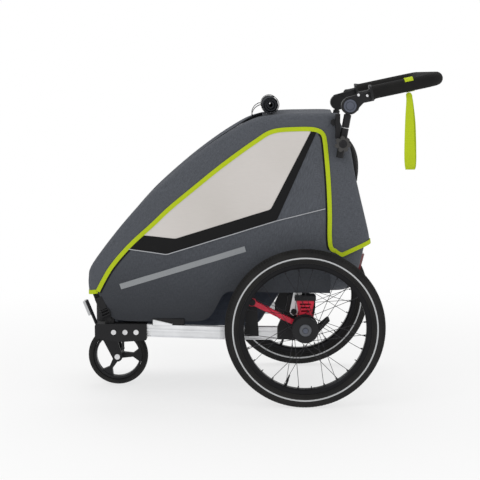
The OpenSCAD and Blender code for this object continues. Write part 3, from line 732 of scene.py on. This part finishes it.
def hood_at(u, s):
    """The hood's surface: u runs from the nose over the roof to the back's foot, and s from side to side."""
    hand = -1 if s < 0.5 else 1
    q = 1 - abs(2 * s - 1)
    lime, edge = along(LIME, u) * MM, along(EDGE, u) * MM
    reach = edge - lime
    deep = reach.length
    corner = min(CORNER_R, deep * 0.8)
    side = side_out(lime.x, lime.y)
    if q < WALL:
        share = q / WALL
        out, y = (deep - corner) * share, side
    elif q < CORNER:
        turn = (q - WALL) / (CORNER - WALL) * math.pi / 2
        out = deep - corner + corner * math.sin(turn)
        y = side - corner + corner * math.cos(turn)
    else:
        lip = side - corner
        y = between(lip, OPENING, (q - CORNER) / (LIP - CORNER)) if q < LIP else \
            OPENING * (1 - (q - LIP) / (1 - LIP))
        inward = rise(lip - y, 0, lip - OPENING) * 9 * MM * (1 - rise(u, 0.40, 0.48))
        roof = rise(u, 0.44, 0.56) * (1 - (y / lip) ** 2)
        out = deep - inward - roof * 7 * MM
    reached = out / deep
    bow = -25 * MM * min(rise(reached, 0, 0.34), max(1 - reached, 0) / 0.74) * rise(u, 0.90, 1)
    point = lime + reach.normalized() * out
    crease = noise.noise(Vector((point.x * 9, y * 9 + 5, point.y * 9)))
    wrinkle = crease * 1.3 * MM * (1 - 0.6 * rise(u, 0.60, 0.68)) * rise(q, 0.05, 0.25)
    point += reach.normalized() * wrinkle
    return Vector((point.x, hand * y, point.y + bow))


def make_hood():
    """One continuous curved sheet: the front edges, the side bands, the roof and the back."""

    def kept(u, s):
        return u > OPEN_ROWS / HOOD_ROWS or 1 - abs(2 * s - 1) < LIP

    hood = laid("cover_hood", hood_at, (HOOD_ROWS, 100), (1.75, 0.72), kept)
    tidy(hood)
    face_out(hood, (0, 0, 1))
    modify(hood, "SOLIDIFY", thickness=COVER_THICK, offset=-1.0)
    finish_fabric(smooth(hood, 60), "cover_fabric", None, ["canopy"])
    return hood


def make_side_panels():
    first, last = LIME[0][0] * MM, 0.2265

    def top(x):
        inside = (BAND_MIDDLE[0][0] * MM < x < BAND_MIDDLE[-1][0] * MM)
        return min(lime_height(x), band_middle_height(x)) if inside else lime_height(x)

    def place(u, v):
        x = between(first, last, (1 - math.cos(math.pi * u)) / 2)
        low = min(foot_height(x), top(x) - 0.001)
        z = between(low, top(x), v)
        return on_side(x, z)

    panel = laid("left_side_cloth", place, (190, 48), (0.73, 0.40))
    smooth(thicken(panel, COVER_THICK), 60)
    # The side cloth takes side_fabric, which carries painted shade low down.
    left, right = both_sides(panel, "side_cloth", "cover_fabric", "side_fabric",
                             ("left_side_panel", "right_side_panel"))


def make_windows():
    def film_at(u, v):
        x = between(WINDOW[0][0] - 8, WINDOW[-1][0] + 6, u) * MM
        low = min(window_height(x) - 0.006, lime_height(x) - 0.002)
        return on_side(x, between(low, lime_height(x), v), 0.0006)

    film = laid("left_window", film_at, (100, 24), (0.53, 0.27))
    smooth(thicken(film, 0.0008), 60)
    for part in both_sides(film, "window", "window_film", None, ("side_windows", "")):
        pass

    def band_at(u, v):
        x = between(BAND[0][0], BAND[-1][0], u) * MM
        low = min(band_height(x), lime_height(x) - 0.001)
        high = lime_height(x)
        if WINDOW[0][0] * MM < x < WINDOW[-1][0] * MM:
            high = min(window_height(x), high)
        return on_side(x, between(low, high, v), 0.0016)

    band = laid("left_window_band", band_at, (180, 8), (0.6, 0.04))
    smooth(thicken(band, 0.0012), 60)
    both_sides(band, "window_band", "cover_fabric", "band_fabric")


def in_metres(points):
    return [Vector(p) * MM for p in points]


def lime_path():
    """The lime edging on one side: up the front, over the top, down the back and along the hood's foot."""
    keys = [tuple(along(LIME, i / 160)) for i in range(161)]
    foot = [hood_at(1, s / 1000) for s in range(6, 25, 3)]
    return in_metres(softened(keys + [(p.x / MM, p.z / MM) for p in foot], 14))


def offset_line(line, away):
    """A line beside another, at a distance in metres to its left."""
    count = len(line)
    moved = []
    for i, point in enumerate(line):
        way = (line[min(i + 1, count - 1)] - line[max(i - 1, 0)]).normalized()
        moved.append(point + Vector((-way.y, way.x)) * away)
    return moved


def make_edging():
    path = lime_path()
    edge = strip_on_side("left_lime_edge", path, LIME_WIDE, LIME_LIFT, 0.0012, 0.0016)
    both_sides(edge, "lime_edge", "lime_webbing")
    # Near-black strips beside the lime edging: the rear one is painted shadow of the gap beside the edging,
    # the front one a dark strip along the front edge.
    dark_strip_line = offset_line(path, -0.0095)
    front = [p for p in dark_strip_line if p.x < -0.385]
    rear = [p for p in dark_strip_line if p.x > 0.185 and p.y > 0.478 and p.x < 0.222]
    for stem, line in (("front_zip", front), ("rear_zip", rear)):
        cut = strip_on_side("left_" + stem, line, 0.0055, 0.0012, 0.0006)
        both_sides(cut, stem, "webbing", "band_fabric")
    piping = strip_on_side("left_piping", in_metres(softened(PIPING, 8)), 0.0030, 0.0022, 0.0011, 0.001)
    both_sides(piping, "piping", "cover_fabric", "piping")
    stripe = strip_on_side("left_reflective_stripe", in_metres(softened([(-432, 372), (-40, 492)], 3)),
                           0.018, 0.0012, 0.0002, 0.0008)
    both_sides(stripe, "reflective_stripe", "cover_fabric", "reflective_tape")
    seams = {
        "roof_seam": [hood_at(0.475, s / 60) for s in range(2, 59)],
        "back_seam": [hood_at(0.632, s / 60) for s in range(1, 60)],
    }
    for name, points in seams.items():
        finish_fabric(tube(name, points, 0.0011, 8), "cover_fabric")
    foot = laid("lime_back_edge", lambda u, v: hood_edge_strip(u, v, 0.012, 0.988), (160, 4), (0.9, LIME_WIDE))
    face_out(foot, (1, 0, 0))
    modify(foot, "SOLIDIFY", thickness=0.0016, offset=0.0)
    finish_fabric(smooth(foot, 60), "lime_webbing")


def hood_edge_strip(u, v, first, last):
    """A strip over the hood's lower back edge."""
    s = between(first, last, u)
    foot, above = hood_at(1, s), hood_at(0.985, s)
    up = (above - foot).normalized()
    beside = (hood_at(1, min(s + 0.005, 1)) - hood_at(1, max(s - 0.005, 0))).normalized()
    out = beside.cross(up)
    if out.dot(Vector((foot.x - 0.25, foot.y, 0))) < 0:
        out = -out
    return foot + up * (v - 0.45) * LIME_WIDE + out * LIME_LIFT


def make_front_hem():
    """Binding along the front opening and across the front of the roof."""
    rows = [i / HOOD_ROWS for i in range(0, OPEN_ROWS + 1)]
    lip_left, lip_right = LIP / 2, 1 - LIP / 2
    points = [hood_at(u, lip_left) for u in rows]
    points += [hood_at(rows[-1], between(lip_left, lip_right, i / 24)) for i in range(1, 24)]
    points += [hood_at(u, lip_right) for u in reversed(rows)]
    finish_fabric(tube("front_binding", points, 0.0018, 12), "cover_fabric")
    for hand, sign in SIDES.items():
        across = [between(0.0, lip_left, i / 14) for i in range(15)]
        row = [hood_at(0.0, share if sign < 0 else 1 - share) for share in across]
        hem = strap(hand + "_nose_hem", [tuple(p / MM) for p in row], 0.013, (0, 0, 1), 0.003)
        finish_fabric(hem, "lime_webbing")


def bag(name, levels, sag, size, power=7.0):
    """A fabric shell hung from its rim. A level is (z, front x, rear x, half width), from the rim down."""

    def place(u, v):
        wall = 0.62
        depth = min(v / wall, 1)
        z, front, rear, half = along(levels, depth) * MM
        shrink = 1 - max(v - wall, 0) / (1 - wall)
        angle = math.tau * u
        c, s = math.cos(angle), math.sin(angle)
        x = math.copysign(abs(c) ** (2 / power), c)
        y = math.copysign(abs(s) ** (2 / power), s)
        middle_x, reach = (front + rear) / 2, (rear - front) / 2
        bulge = 1 + sag * math.sin(math.pi * depth) * 0.6
        hollow = sag * 90 * MM * (1 - shrink * shrink)
        ripple = 1.6 * MM * math.sin(angle * 9 + 5 * v) * math.sin(math.pi * min(v / wall, 1))
        return Vector((middle_x + x * (reach * bulge + ripple) * shrink,
                       y * (half * bulge + ripple) * shrink, z - hollow))

    piece = laid(name, place, (120, 40), size)
    tidy(piece)
    return piece


def make_boot():
    levels = [(500, 30, 341, 237), (452, 16, 328, 237), (404, 0, 315, 236), (372, -10, 303, 232),
              (356, -8, 286, 214)]
    boot = bag("luggage_bag", levels, 0.03, (1.1, 0.4))
    modify(boot, "SOLIDIFY", thickness=0.002, offset=-1.0)
    finish_fabric(smooth(boot, 50), "cover_fabric", None, ["luggage_box"])


def make_tub():
    levels = [(353, -483, 80, 188), (310, -476, 52, 188), (270, -466, 22, 188), (248, -460, 8, 187),
              (236, -450, -4, 182)]
    tub = bag("tub_bag", levels, 0.012, (1.5, 0.5), 14.0)
    modify(tub, "SOLIDIFY", thickness=0.003, offset=-1.0)
    finish(smooth(tub, 50), "chassis", "tub_fabric", None, ["tub"])


def make_back_pocket():
    """A black pocket that bulges from the back panel."""

    def place(u, v):
        s = between(0.235, 0.765, u)
        down = between(0.735, 0.815, v)
        skin = hood_at(down, s)
        swell = math.sin(math.pi * min(max(v, 0), 1)) ** 0.7 * math.sin(math.pi * u) ** 0.5
        return skin + Vector((0.002 + 0.030 * swell, 0, 0.003 * swell))

    pocket = laid("back_pocket", place, (60, 24), (0.42, 0.15))
    face_out(pocket, (1, 0, 0))
    modify(pocket, "SOLIDIFY", thickness=0.0012, offset=0.0)
    finish_fabric(smooth(pocket, 60), "cover_fabric", "band_fabric")


def make_rolled_cover():
    """The front cover rolled up on the roof's front edge, tied in two places."""
    turns, inner = 5.4, 0.005
    length = 0.39

    def place(u, v):
        angle = u * turns * math.tau + 2.2
        wobble = 0.0007 * math.sin(v * 21 + u * 17) + 0.0005 * math.sin(v * 47)
        r = between(inner, roll_r - 0.0012, u) + wobble
        return Vector((roll_middle.x + r * math.cos(angle), (v - 0.5) * length,
                       roll_middle.z + r * math.sin(angle)))

    roll = laid("rolled_front_cover", place, (230, 36), (0.55, length))
    modify(roll, "SOLIDIFY", thickness=0.0016, offset=0.0)
    finish(smooth(roll, 60), "roll_bar", "rolled_fabric", None, ["rolled_cover"])
    for hand, sign in SIDES.items():
        centre = Vector((roll_middle.x, sign * 0.118, roll_middle.z))
        ring = [(roll_r + 0.0004, -0.0125), (roll_r + 0.002, -0.0125), (roll_r + 0.002, 0.0125),
                (roll_r + 0.0004, 0.0125), (roll_r + 0.0004, -0.0125)]
        tie = turned(hand + "_roll_tie", ring, centre, 40)
        finish(tie, "roll_bar", "webbing")
        loop = [(-16, sign * 150, 890), (-20, sign * 150, 908), (-12, sign * 150, 926), (4, sign * 150, 937),
                (14, sign * 150, 934)]
        finish(strap(hand + "_roll_loop", loop, 0.018, (0, 1, 0), 0.0022), "roll_bar", "webbing")


# ---- Seat and harness ----


def swell(piece, cap):
    """Blows a closed pad up by cloth simulation, and lets no point move further than the cap."""
    piece.data.remesh_voxel_size = 0.006
    only(piece)
    bpy.ops.object.voxel_remesh()
    rest = [v.co.copy() for v in piece.data.vertices]
    modifier = piece.modifiers.new("Cloth", "CLOTH")
    settings = modifier.settings
    settings.use_pressure = True
    settings.uniform_pressure_force = 4
    settings.quality = 4
    settings.effector_weights.gravity = 0
    modifier.point_cache.frame_start, modifier.point_cache.frame_end = 1, 20
    scene = bpy.context.scene
    for step in range(1, 21):
        scene.frame_set(step)
    bpy.ops.object.modifier_apply(modifier=modifier.name)
    for vertex, start in zip(piece.data.vertices, rest):
        move = vertex.co - start
        if move.length > cap:
            vertex.co = start + move.normalized() * cap
    scene.frame_set(1)
    modify(piece, "SUBSURF", levels=1, render_levels=1)
    return smooth(piece, 80)


def press(piece, depth_at):
    """Presses sewn channels into a pad: depth_at(point) gives the way and depth at a point."""
    for vertex in piece.data.vertices:
        vertex.co += depth_at(vertex.co)


BACK_FOOT, BACK_HEAD = Vector((-0.084, 0, 0.318)), Vector((0.034, 0, 0.812))
BACK_UP = (BACK_HEAD - BACK_FOOT).normalized()
BACK_AHEAD = Vector((-BACK_UP.z, 0, BACK_UP.x))
BACK_DEEP = 0.032
SEAM_WIDE, SEAM_DEEP = 0.005, 0.0045


def on_back_pad(place):
    """The matrix that stands a piece up along the seat back, with its foot at a place."""
    return Matrix.Translation(place) @ Matrix(
        ((-BACK_AHEAD.x, 0, BACK_UP.x, 0), (0, 1, 0, 0), (-BACK_AHEAD.z, 0, BACK_UP.z, 0), (0, 0, 0, 1)))


def groove(distance, width):
    return math.exp(-((distance / width) ** 2))


def make_seat():
    low, high = seat_low + Vector((6, 6, 6)) * MM, seat_high - Vector((6, 6, 8)) * MM
    cushion = block("seat_pad", low, high, 0.010, None, 4)
    swell(cushion, 0.009)
    hem = 0.112

    def cushion_seams(p):
        lines = max(groove(p.x - x, SEAM_WIDE) for x in (-0.268, -0.215, -0.160))
        hems = groove(abs(p.y) - hem, SEAM_WIDE)
        top = rise(p.z, middle("seat_cushion").z, seat_high.z)
        return Vector((0, 0, -SEAM_DEEP * max(lines * (abs(p.y) < hem), hems) * top))

    press(cushion, cushion_seams)
    finish_fabric(cushion, "seat_fabric", None, ["seat_cushion"])

    tall = (BACK_HEAD - BACK_FOOT).length
    low, high = (-0.001, -0.144, 0.006), (BACK_DEEP - 0.010, 0.144, tall - 0.006)
    back = block("back_pad", low, high, 0.010, None, 4)
    back.data.transform(on_back_pad(BACK_FOOT))
    swell(back, 0.009)
    back_hem = 0.105

    def back_seams(p):
        along_back = (p - BACK_FOOT).dot(BACK_UP)
        lines = max(groove(along_back - d, SEAM_WIDE) for d in (0.09, 0.18, 0.27, 0.36, 0.44))
        hems = groove(abs(p.y) - back_hem, SEAM_WIDE)
        front = rise((p - BACK_FOOT).dot(BACK_AHEAD), -0.02, 0.0)
        return BACK_AHEAD * -SEAM_DEEP * max(lines * (abs(p.y) < back_hem), hems) * front

    press(back, back_seams)
    finish_fabric(back, "seat_fabric", None, ["seat_back"])


def make_harness():
    """Five straps that meet at the buckle, with padded sleeves over the shoulders."""

    def on_back(up, ahead, y):
        point = BACK_FOOT + BACK_UP * up + BACK_AHEAD * ahead
        return (point.x / MM, y, point.z / MM)

    buckle = middle("harness_buckle")
    top_z = seat_high.z / MM
    straps = []
    for hand, sign in SIDES.items():
        keys = [on_back(0.425, 0.004, sign * 72), on_back(0.400, 0.017, sign * 72),
                on_back(0.25, 0.016, sign * 68), on_back(0.12, 0.020, sign * 60),
                (-118, sign * 48, top_z + 26), (-150, sign * 34, top_z + 14),
                (buckle.x / MM + 16, sign * 20, top_z + 10)]
        straps.append(strap(hand + "_shoulder_strap", keys, 0.025, (0, 1, 0), 0.0018))
        keys = [(-108, sign * 128, top_z + 2), (-135, sign * 112, top_z + 10),
                (-168, sign * 70, top_z + 9), (buckle.x / MM, sign * 26, top_z + 9)]
        straps.append(strap(hand + "_lap_strap", keys, 0.025, (1, 0, 0.1), 0.0018))
        pad_low, pad_high = Vector((-0.004, -0.021, 0)), Vector((0.004, 0.021, 0.15))
        pad = block(hand + "_shoulder_pad", pad_low, pad_high, 0.0035, None, 3)
        place = BACK_FOOT + BACK_UP * 0.235 + BACK_AHEAD * 0.0165 + Vector((0, sign * 0.069, 0))
        pad.data.transform(on_back_pad(place))
        swell(pad, 0.003)
        finish_fabric(pad, "seat_fabric")
    keys = [(-300, 0, top_z - 1), (-262, 0, top_z + 5), (-228, 0, top_z + 7),
            (buckle.x / MM - 14, 0, top_z + 9)]
    straps.append(strap("crotch_strap", keys, 0.025, (0, 1, 0), 0.0018))
    for piece in straps:
        finish_fabric(piece, "webbing", None, ["harness_straps"] if piece is straps[0] else [])
    low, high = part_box("harness_buckle")
    body = block("buckle_body", low, high, 0.005, None, 4)
    with editing(body):
        pick(body, lambda m, n: n.z > 0.99)
        bpy.ops.mesh.inset(thickness=0.004, depth=-0.0012)
    hole_r = (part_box("buckle_button")[1].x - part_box("buckle_button")[0].x) / 2 + 0.0006
    bpy.ops.mesh.primitive_cylinder_add(vertices=48, radius=hole_r, depth=0.03,
                                        location=middle("buckle_button") + Vector((0, 0, 0.008)))
    cutter = named("buckle_cutter")
    modify(body, "BOOLEAN", object=cutter, operation="DIFFERENCE", solver="EXACT")
    bpy.data.objects.remove(cutter)
    finish(smooth(body, 35), "chassis", "black_plastic", None, ["harness_buckle"])


# ---- Wheels ----


def ring_profile(radius, out, half, rise_out):
    """A flat ring on a side wall, with soft edges."""
    foot, shoulder = out - 0.001, out + rise_out * 0.8
    return [(radius - half, foot), (radius - half * 0.8, shoulder), (radius, out + rise_out),
            (radius + half * 0.8, shoulder), (radius + half, foot), (radius - half, foot)]


def make_rear_wheels():
    section = (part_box("left_tyre")[1].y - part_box("left_tyre")[0].y) / 2
    knob = 0.0013
    core_r = tyre_r - section
    bpy.ops.mesh.primitive_torus_add(location=axle, rotation=(math.pi / 2, 0, 0), major_segments=156,
                                     minor_segments=30, major_radius=core_r, minor_radius=section - knob)
    tyre = named("left_block_tyre")

    def tread(m, n):
        reach = math.hypot(m.x - axle.x, m.z - axle.z)
        return reach > core_r + section * 0.42

    with editing(tyre):
        pick(tyre, tread)
        bpy.ops.mesh.inset(thickness=0.0009, depth=knob, use_individual=True)
    tyre.data.update()
    right_tyre = mirrored(tyre, "right_block_tyre")
    for hand, piece in (("left", tyre), ("right", right_tyre)):
        finish(smooth(piece, 28), hand + "_wheel", "tyre_rubber", None, [hand + "_tyre"])
    for hand, sign in SIDES.items():
        centre = Vector((axle.x, sign * abs(axle.y), axle.z))
        body = hand + "_wheel"
        wall = section - knob
        for place, direction in (("outer", sign), ("inner", -sign)):
            for stem, profile, material in (
                ("ring", ring_profile(0.2240, wall - 0.0001, 0.0026, 0.0008), "clear_reflector"),
                ("bead", ring_profile(0.2085, 0.0142, 0.0022, 0.0014), None),
            ):
                ring = turned(f"{hand}_{place}_{stem}", profile, centre, 96, direction)
                finish(ring, body, "tyre_rubber", material)
        make_nipples(hand, centre, body)
        make_hub_trim(hand, centre, body, sign)


def make_nipples(hand, centre, body):
    """Spoke nipples on the rim's inner face, and the tyre's valve."""
    rim_in = 0.190
    count = 28
    nipples = []
    for i in range(count):
        angle = math.tau * (i + 0.5) / count
        out = Vector((math.cos(angle), 0, math.sin(angle)))
        bpy.ops.mesh.primitive_cylinder_add(
            vertices=8, radius=0.0015, depth=0.008, location=centre + out * (rim_in - 0.003),
            rotation=out.to_track_quat("Z", "Y").to_euler())
        nipples.append(named("nipple"))
    finish(smooth(joined(hand + "_nipples", nipples)), body, "spoke_steel")
    angle = math.radians(252)
    out = Vector((math.cos(angle), 0, math.sin(angle)))
    stem = tube(hand + "_valve", [centre + out * (rim_in + 0.002), centre + out * (rim_in - 0.020),
                                  centre + out * (rim_in - 0.022), centre + out * (rim_in - 0.036)],
                0.0034, 12, [1.0, 1.0, 0.72, 0.72])
    finish(stem, body, "black_plastic")


def make_hub_trim(hand, centre, body, sign):
    """A domed grey cap round the release button, and a dark dished cover on the flange."""
    face = 0.024
    dish = [(0.0405, face - 0.002), (0.040, face + 0.0008), (0.034, face + 0.0022), (0.026, face + 0.0012),
            (0.021, face + 0.0028), (0.0195, face + 0.0028), (0.0195, face - 0.002), (0.0405, face - 0.002)]
    finish(turned(hand + "_flange_cover", dish, centre, 64, sign), body, "black_plastic")
    cap = [(0.0190, face - 0.002), (0.0190, face + 0.0040), (0.0170, face + 0.0066), (0.0125, face + 0.0082),
           (0.0092, face + 0.0084), (0.0092, face - 0.002), (0.0190, face - 0.002)]
    finish(turned(hand + "_hub_cap", cap, centre, 48, sign), body, "black_plastic", "hub_grey")


def make_front_wheel():
    radius = front_axle.z
    core = [(0.0805, -0.0125), (0.0830, -0.0160), (0.0880, -0.0170), (0.0935, -0.0155), (0.0965, -0.0120),
            (0.0968, -0.0095), (0.0975, -0.0090), (0.0985, -0.0062), (0.0972, -0.0050), (0.0972, -0.0040),
            (0.0996, -0.0032), (radius, 0.0)]
    profile = core + [(r, -y) for r, y in reversed(core[:-1])]
    tyre = turned("front_tread_tyre", profile + [profile[0]], front_axle, 96)
    finish(tyre, "front_wheel", "tyre_rubber", None, ["front_tyre"])


# ---- Handle ----

ARM_RISE = math.radians(12)
ARM_KNEE = Vector((0.310, 0, 0.970))
ARM_Y = 0.272
ARM_LENGTH = 0.242
ARM_BEND = 0.050
GRIP_FROM = 0.036
GRIP_R = 0.0208


def on_arm(forward, y, up=0.0):
    """A point given along the handle arm, across it and above it."""
    c, s = math.cos(ARM_RISE), math.sin(ARM_RISE)
    return ARM_KNEE + Vector((forward * c - up * s, y, forward * s + up * c))


def grip_path():
    """The middle line of the grip as (forward, across): one arm, the cross bar and the other arm."""
    half = [(x / 1000, -ARM_Y) for x in range(36, 192, 4)]
    corner = ARM_LENGTH - ARM_BEND
    half += [(corner + ARM_BEND * math.sin(a), -ARM_Y + ARM_BEND * (1 - math.cos(a)))
             for a in (math.pi / 2 * i / 14 for i in range(15))]
    across = [(ARM_LENGTH, y / 1000) for y in range(-210, 211, 20)]
    return half + across + [(x, -y) for x, y in reversed(half)]


def make_grip():
    path = grip_path()
    last = len(path) - 1
    radii = []
    for i in range(last + 1):
        end = min(i, last - i)
        flare = 0.16 * math.exp(-((end / 1.4) ** 2))
        seam = 0.012 * math.sin(i * 2.1)
        radii.append(1 + flare + seam * 0.4)
    grip = tube("padded_grip", [on_arm(x, y) for x, y in path], GRIP_R, 28, radii)
    finish(grip, "handle_arm", "grip_foam", None, ["grip"])
    for hand, sign in SIDES.items():
        ring = turned(hand + "_grip_ring", [(0.0120, 0), (0.0242, 0), (0.0248, 0.003), (0.0236, 0.008),
                                            (0.0150, 0.009), (0.0120, 0.009), (0.0120, 0)],
                      (0, 0, 0), 40, 1, "Z")
        face = Matrix.Rotation(math.pi / 2 - ARM_RISE, 4, "Y")
        ring.data.transform(Matrix.Translation(on_arm(GRIP_FROM - 0.006, sign * ARM_Y)) @ face)
        finish(ring, "handle_arm", "black_plastic")
    patch = laid("strap_band", strap_band_at, (6, 48), (0.026, 0.10))
    face_out(patch, (0, 0, 1))
    modify(patch, "SOLIDIFY", thickness=0.0014, offset=0.0)
    finish(smooth(patch, 60), "handle_arm", "lime_webbing")


def strap_band_at(u, v):
    """The strap's lime band on the grip: from its upper outside over the top and down the inside."""
    angle = math.radians(between(28, 262, v))
    forward = between(0.139, 0.165, u)
    r = GRIP_R + 0.001
    return on_arm(forward, -ARM_Y - r * math.cos(angle), r * math.sin(angle))


def make_wrist_strap():
    """A lime loop: a narrow neck under the grip, then two layers down to a rounded end."""
    low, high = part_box("wrist_strap")
    top = on_arm(0.152, -ARM_Y)
    x, z = top.x / MM, top.z / MM
    foot = low.z / MM + 6
    y_front, y_back = -ARM_Y / MM - 5, -ARM_Y / MM + 4
    keys = [(x, y_front + 3, z - 24), (x, y_front + 2, z - 32), (x + 1, y_front + 1, z - 50),
            (x + 2, y_front, z - 110),
            (x + 4, y_front, foot + 60), (x + 6, y_front, foot + 18), (x + 7, y_front + 4, foot),
            (x + 9, y_back, foot + 10), (x + 10, y_back, foot + 50), (x + 9, y_back, z - 120),
            (x + 5, y_back, z - 60), (x, y_back - 2, z - 32), (x, y_back - 3, z - 24)]
    widths = [7, 18, 19, 26, 32, 33, 28, 33, 32, 26, 19, 18, 7]
    loop = strap("wrist_loop", keys, 0.024, (1, 0, 0), 0.0018, 90, widths)
    finish(loop, "wrist_strap", "lime_webbing", None, ["wrist_strap"])


def rivet(name, place, body, direction=-1, r=0.0042, high=0.0022, slot="bolt_steel"):
    """A round domed rivet head on a face that looks along Y."""
    profile = [(r, -0.001), (r, high * 0.35), (r * 0.8, high * 0.8), (r * 0.45, high), (0.0001, high * 1.05)]
    return finish(turned(name, profile, place, 20, direction), body, slot)


ARM_SHELL = [(260, 954), (266, 962), (288, 968), (344, 984), (344, 956), (320, 946), (307, 932), (303, 921),
             (299, 926), (301, 937), (295, 952), (279, 959), (264, 952)]


def arm_shell(hand, sign):
    """The moulded body that runs from the tilt joint to the grip."""
    count = len(ARM_SHELL)
    low, high = sorted((sign * (ARM_Y + 0.0135), sign * (ARM_Y - 0.0135)))
    points = [(x * MM, y, z * MM) for y in (low, high) for x, z in ARM_SHELL]
    walls = [(i, (i + 1) % count, count + (i + 1) % count, count + i) for i in range(count)]
    mesh = bpy.data.meshes.new(hand + "_arm_shell")
    mesh.from_pydata(points, [], walls + [tuple(range(count)), tuple(range(count, 2 * count))])
    piece = bpy.data.objects.new(hand + "_arm_shell", mesh)
    bpy.context.scene.collection.objects.link(piece)
    tidy(piece)
    modify(piece, "BEVEL", width=0.0018, segments=3)
    finish(smooth(piece, 50), "handle_arm", "black_casting")


def make_handle_details():
    for hand, sign in SIDES.items():
        tilt = Vector((tilt_middle.x, sign * abs(tilt_middle.y), tilt_middle.z))
        face = abs(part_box("left_tilt_button")[0].y) - 0.003
        centre = Vector((tilt.x, 0, tilt.z))
        ring = [(0.0262, face - 0.004), (0.0262, face + 0.0006), (0.0240, face + 0.0018),
                (0.0212, face + 0.0006), (0.0206, face - 0.002), (0.0262, face - 0.004)]
        finish(turned(hand + "_tilt_ring", ring, centre, 56, sign), "handle_arm", "black_plastic")
        dish = [(0.0125, face - 0.001), (0.0132, face + 0.0010), (0.0190, face + 0.0012),
                (0.0205, face - 0.001), (0.0125, face - 0.001)]
        finish(turned(hand + "_tilt_dish", dish, centre, 56, sign), "handle_arm", "button_grey")
        arm_face = ARM_Y + 0.0125
        for number, (forward, up) in enumerate(((0.020, -0.006), (-0.006, 0.001))):
            spot = on_arm(forward, 0, up)
            spot.y = sign * (arm_face + 0.001)
            rivet(f"{hand}_arm_rivet_{number + 1}", spot, "handle_arm", sign)
        arm_shell(hand, sign)
        knob = Vector((knob_middle.x, 0, knob_middle.z))
        outer = abs(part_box("left_star_knob")[0].y)
        cap = [(0.0125, outer - 0.002), (0.0125, outer + 0.001), (0.0100, outer + 0.0022),
               (0.0060, outer + 0.0010), (0.0001, outer + 0.0008)]
        finish(turned(hand + "_knob_cap", cap, knob, 32, sign), hand + "_star_knob", "black_plastic")
        lever_low = on_arm(0.004, sign * ARM_Y - 0.007, -0.026)
        lever = block(hand + "_arm_lever", lever_low, lever_low + Vector((0.036, 0.014, 0.010)), 0.004,
                      (-12, lever_low), 3)
        finish(lever, "handle_arm", "black_plastic")


# ---- Chassis details ----

INSERT_TAPER = 0.25


def make_front_webbing():
    """The strap that holds the cover's nose down: webbing, a side-release buckle and a ladder lock."""
    for hand, sign in SIDES.items():
        y = sign * 236
        keys = [(-508, y, 352), (-502, y, 336), (-491, y, 312), (-481, y, 290), (-474, y, 270)]
        tape = strap(hand + "_nose_strap", keys, 0.025, (0.90, 0, 0.42), 0.002)
        finish(tape, "chassis", "webbing")
        pivot = Vector((-0.494, sign * 0.238, 0.318))
        half = Vector((0.013, 0.006, 0.021))
        body = block(hand + "_nose_buckle", pivot - half, pivot + half, 0.0035, None, 3)
        with editing(body):
            pick(body, lambda m, n: abs(n.y) > 0.99)
            bpy.ops.mesh.inset(thickness=0.004, depth=-0.0016)
        lean(body, -24, pivot)
        finish(smooth(body, 35), "chassis", "black_plastic")
        lock = Vector((-0.481, sign * 0.238, 0.287))
        bars = []
        for step in (-0.010, -0.001, 0.008):
            low = lock + Vector((-0.015, -0.0045, step))
            bars.append(block("bar", low, low + Vector((0.030, 0.009, 0.0035)), 0.0014))
        for end in (-0.0155, 0.0125):
            low = lock + Vector((end, -0.0045, -0.010))
            bars.append(block("bar", low, low + Vector((0.003, 0.009, 0.0215)), 0.0012))
        ladder = joined(hand + "_ladder_lock", bars)
        lean(ladder, -24, lock)
        finish(smooth(ladder, 35), "chassis", "black_plastic")


def make_rail_details():
    """Clips on top of the rails behind the front brackets, and the tow socket's locking pin."""
    for hand, sign in SIDES.items():
        for stem, slot, low, high in (
            ("rail_clip", "black_plastic", (-0.334, -0.006, 0.246), (-0.232, 0.006, 0.271)),
            ("rail_insert", "aluminium", (-0.332, -0.0105, 0.2465), (-0.270, 0.0105, 0.266)),
        ):
            shift = Vector((0, sign * 0.226, 0))
            clip = block(f"{hand}_{stem}", Vector(low) + shift, Vector(high) + shift, 0.003)
            floor, length = low[2], high[0] - low[0]
            for vertex in clip.data.vertices:
                share = (vertex.co.x - low[0]) / length
                keep = between(0.9, 1, math.sin(math.pi * share))
                if stem == "rail_insert":
                    keep = between(1, INSERT_TAPER, share)
                vertex.co.z = floor + (vertex.co.z - floor) * keep
            finish(clip, "chassis", slot)
    pin = turned("tow_pin", [(0.0001, 0.0), (0.0045, 0.0), (0.0045, 0.006), (0.0038, 0.008), (0.0038, 0.026),
                             (0.0060, 0.028), (0.0060, 0.034), (0.0001, 0.034)],
                 (-0.428, -0.217, 0.166), 24, 1, "Z")
    finish(pin, "chassis", "black_plastic")


def make_reflector_backs():
    """Black holders behind the rear reflectors."""
    for hand, sign in SIDES.items():
        y = sign * 0.173
        low, high = Vector((0.3115, y - 0.020, 0.416)), Vector((0.3155, y + 0.020, 0.475))
        back = block(hand + "_rear_reflector_back", low, high, 0.0018, (14, (0.316, 0, 0.420)))
        finish(back, "chassis", "black_plastic")


def make_everything():
    make_camera()
    make_studio()
    paint_nodes()
    make_hood()
    make_side_panels()
    make_windows()
    make_edging()
    make_front_hem()
    make_boot()
    make_tub()
    make_back_pocket()
    make_rolled_cover()
    make_seat()
    make_harness()
    make_rear_wheels()
    make_front_wheel()
    make_grip()
    make_wrist_strap()
    make_handle_details()
    make_front_webbing()
    make_rail_details()
    make_reflector_backs()


make_everything()
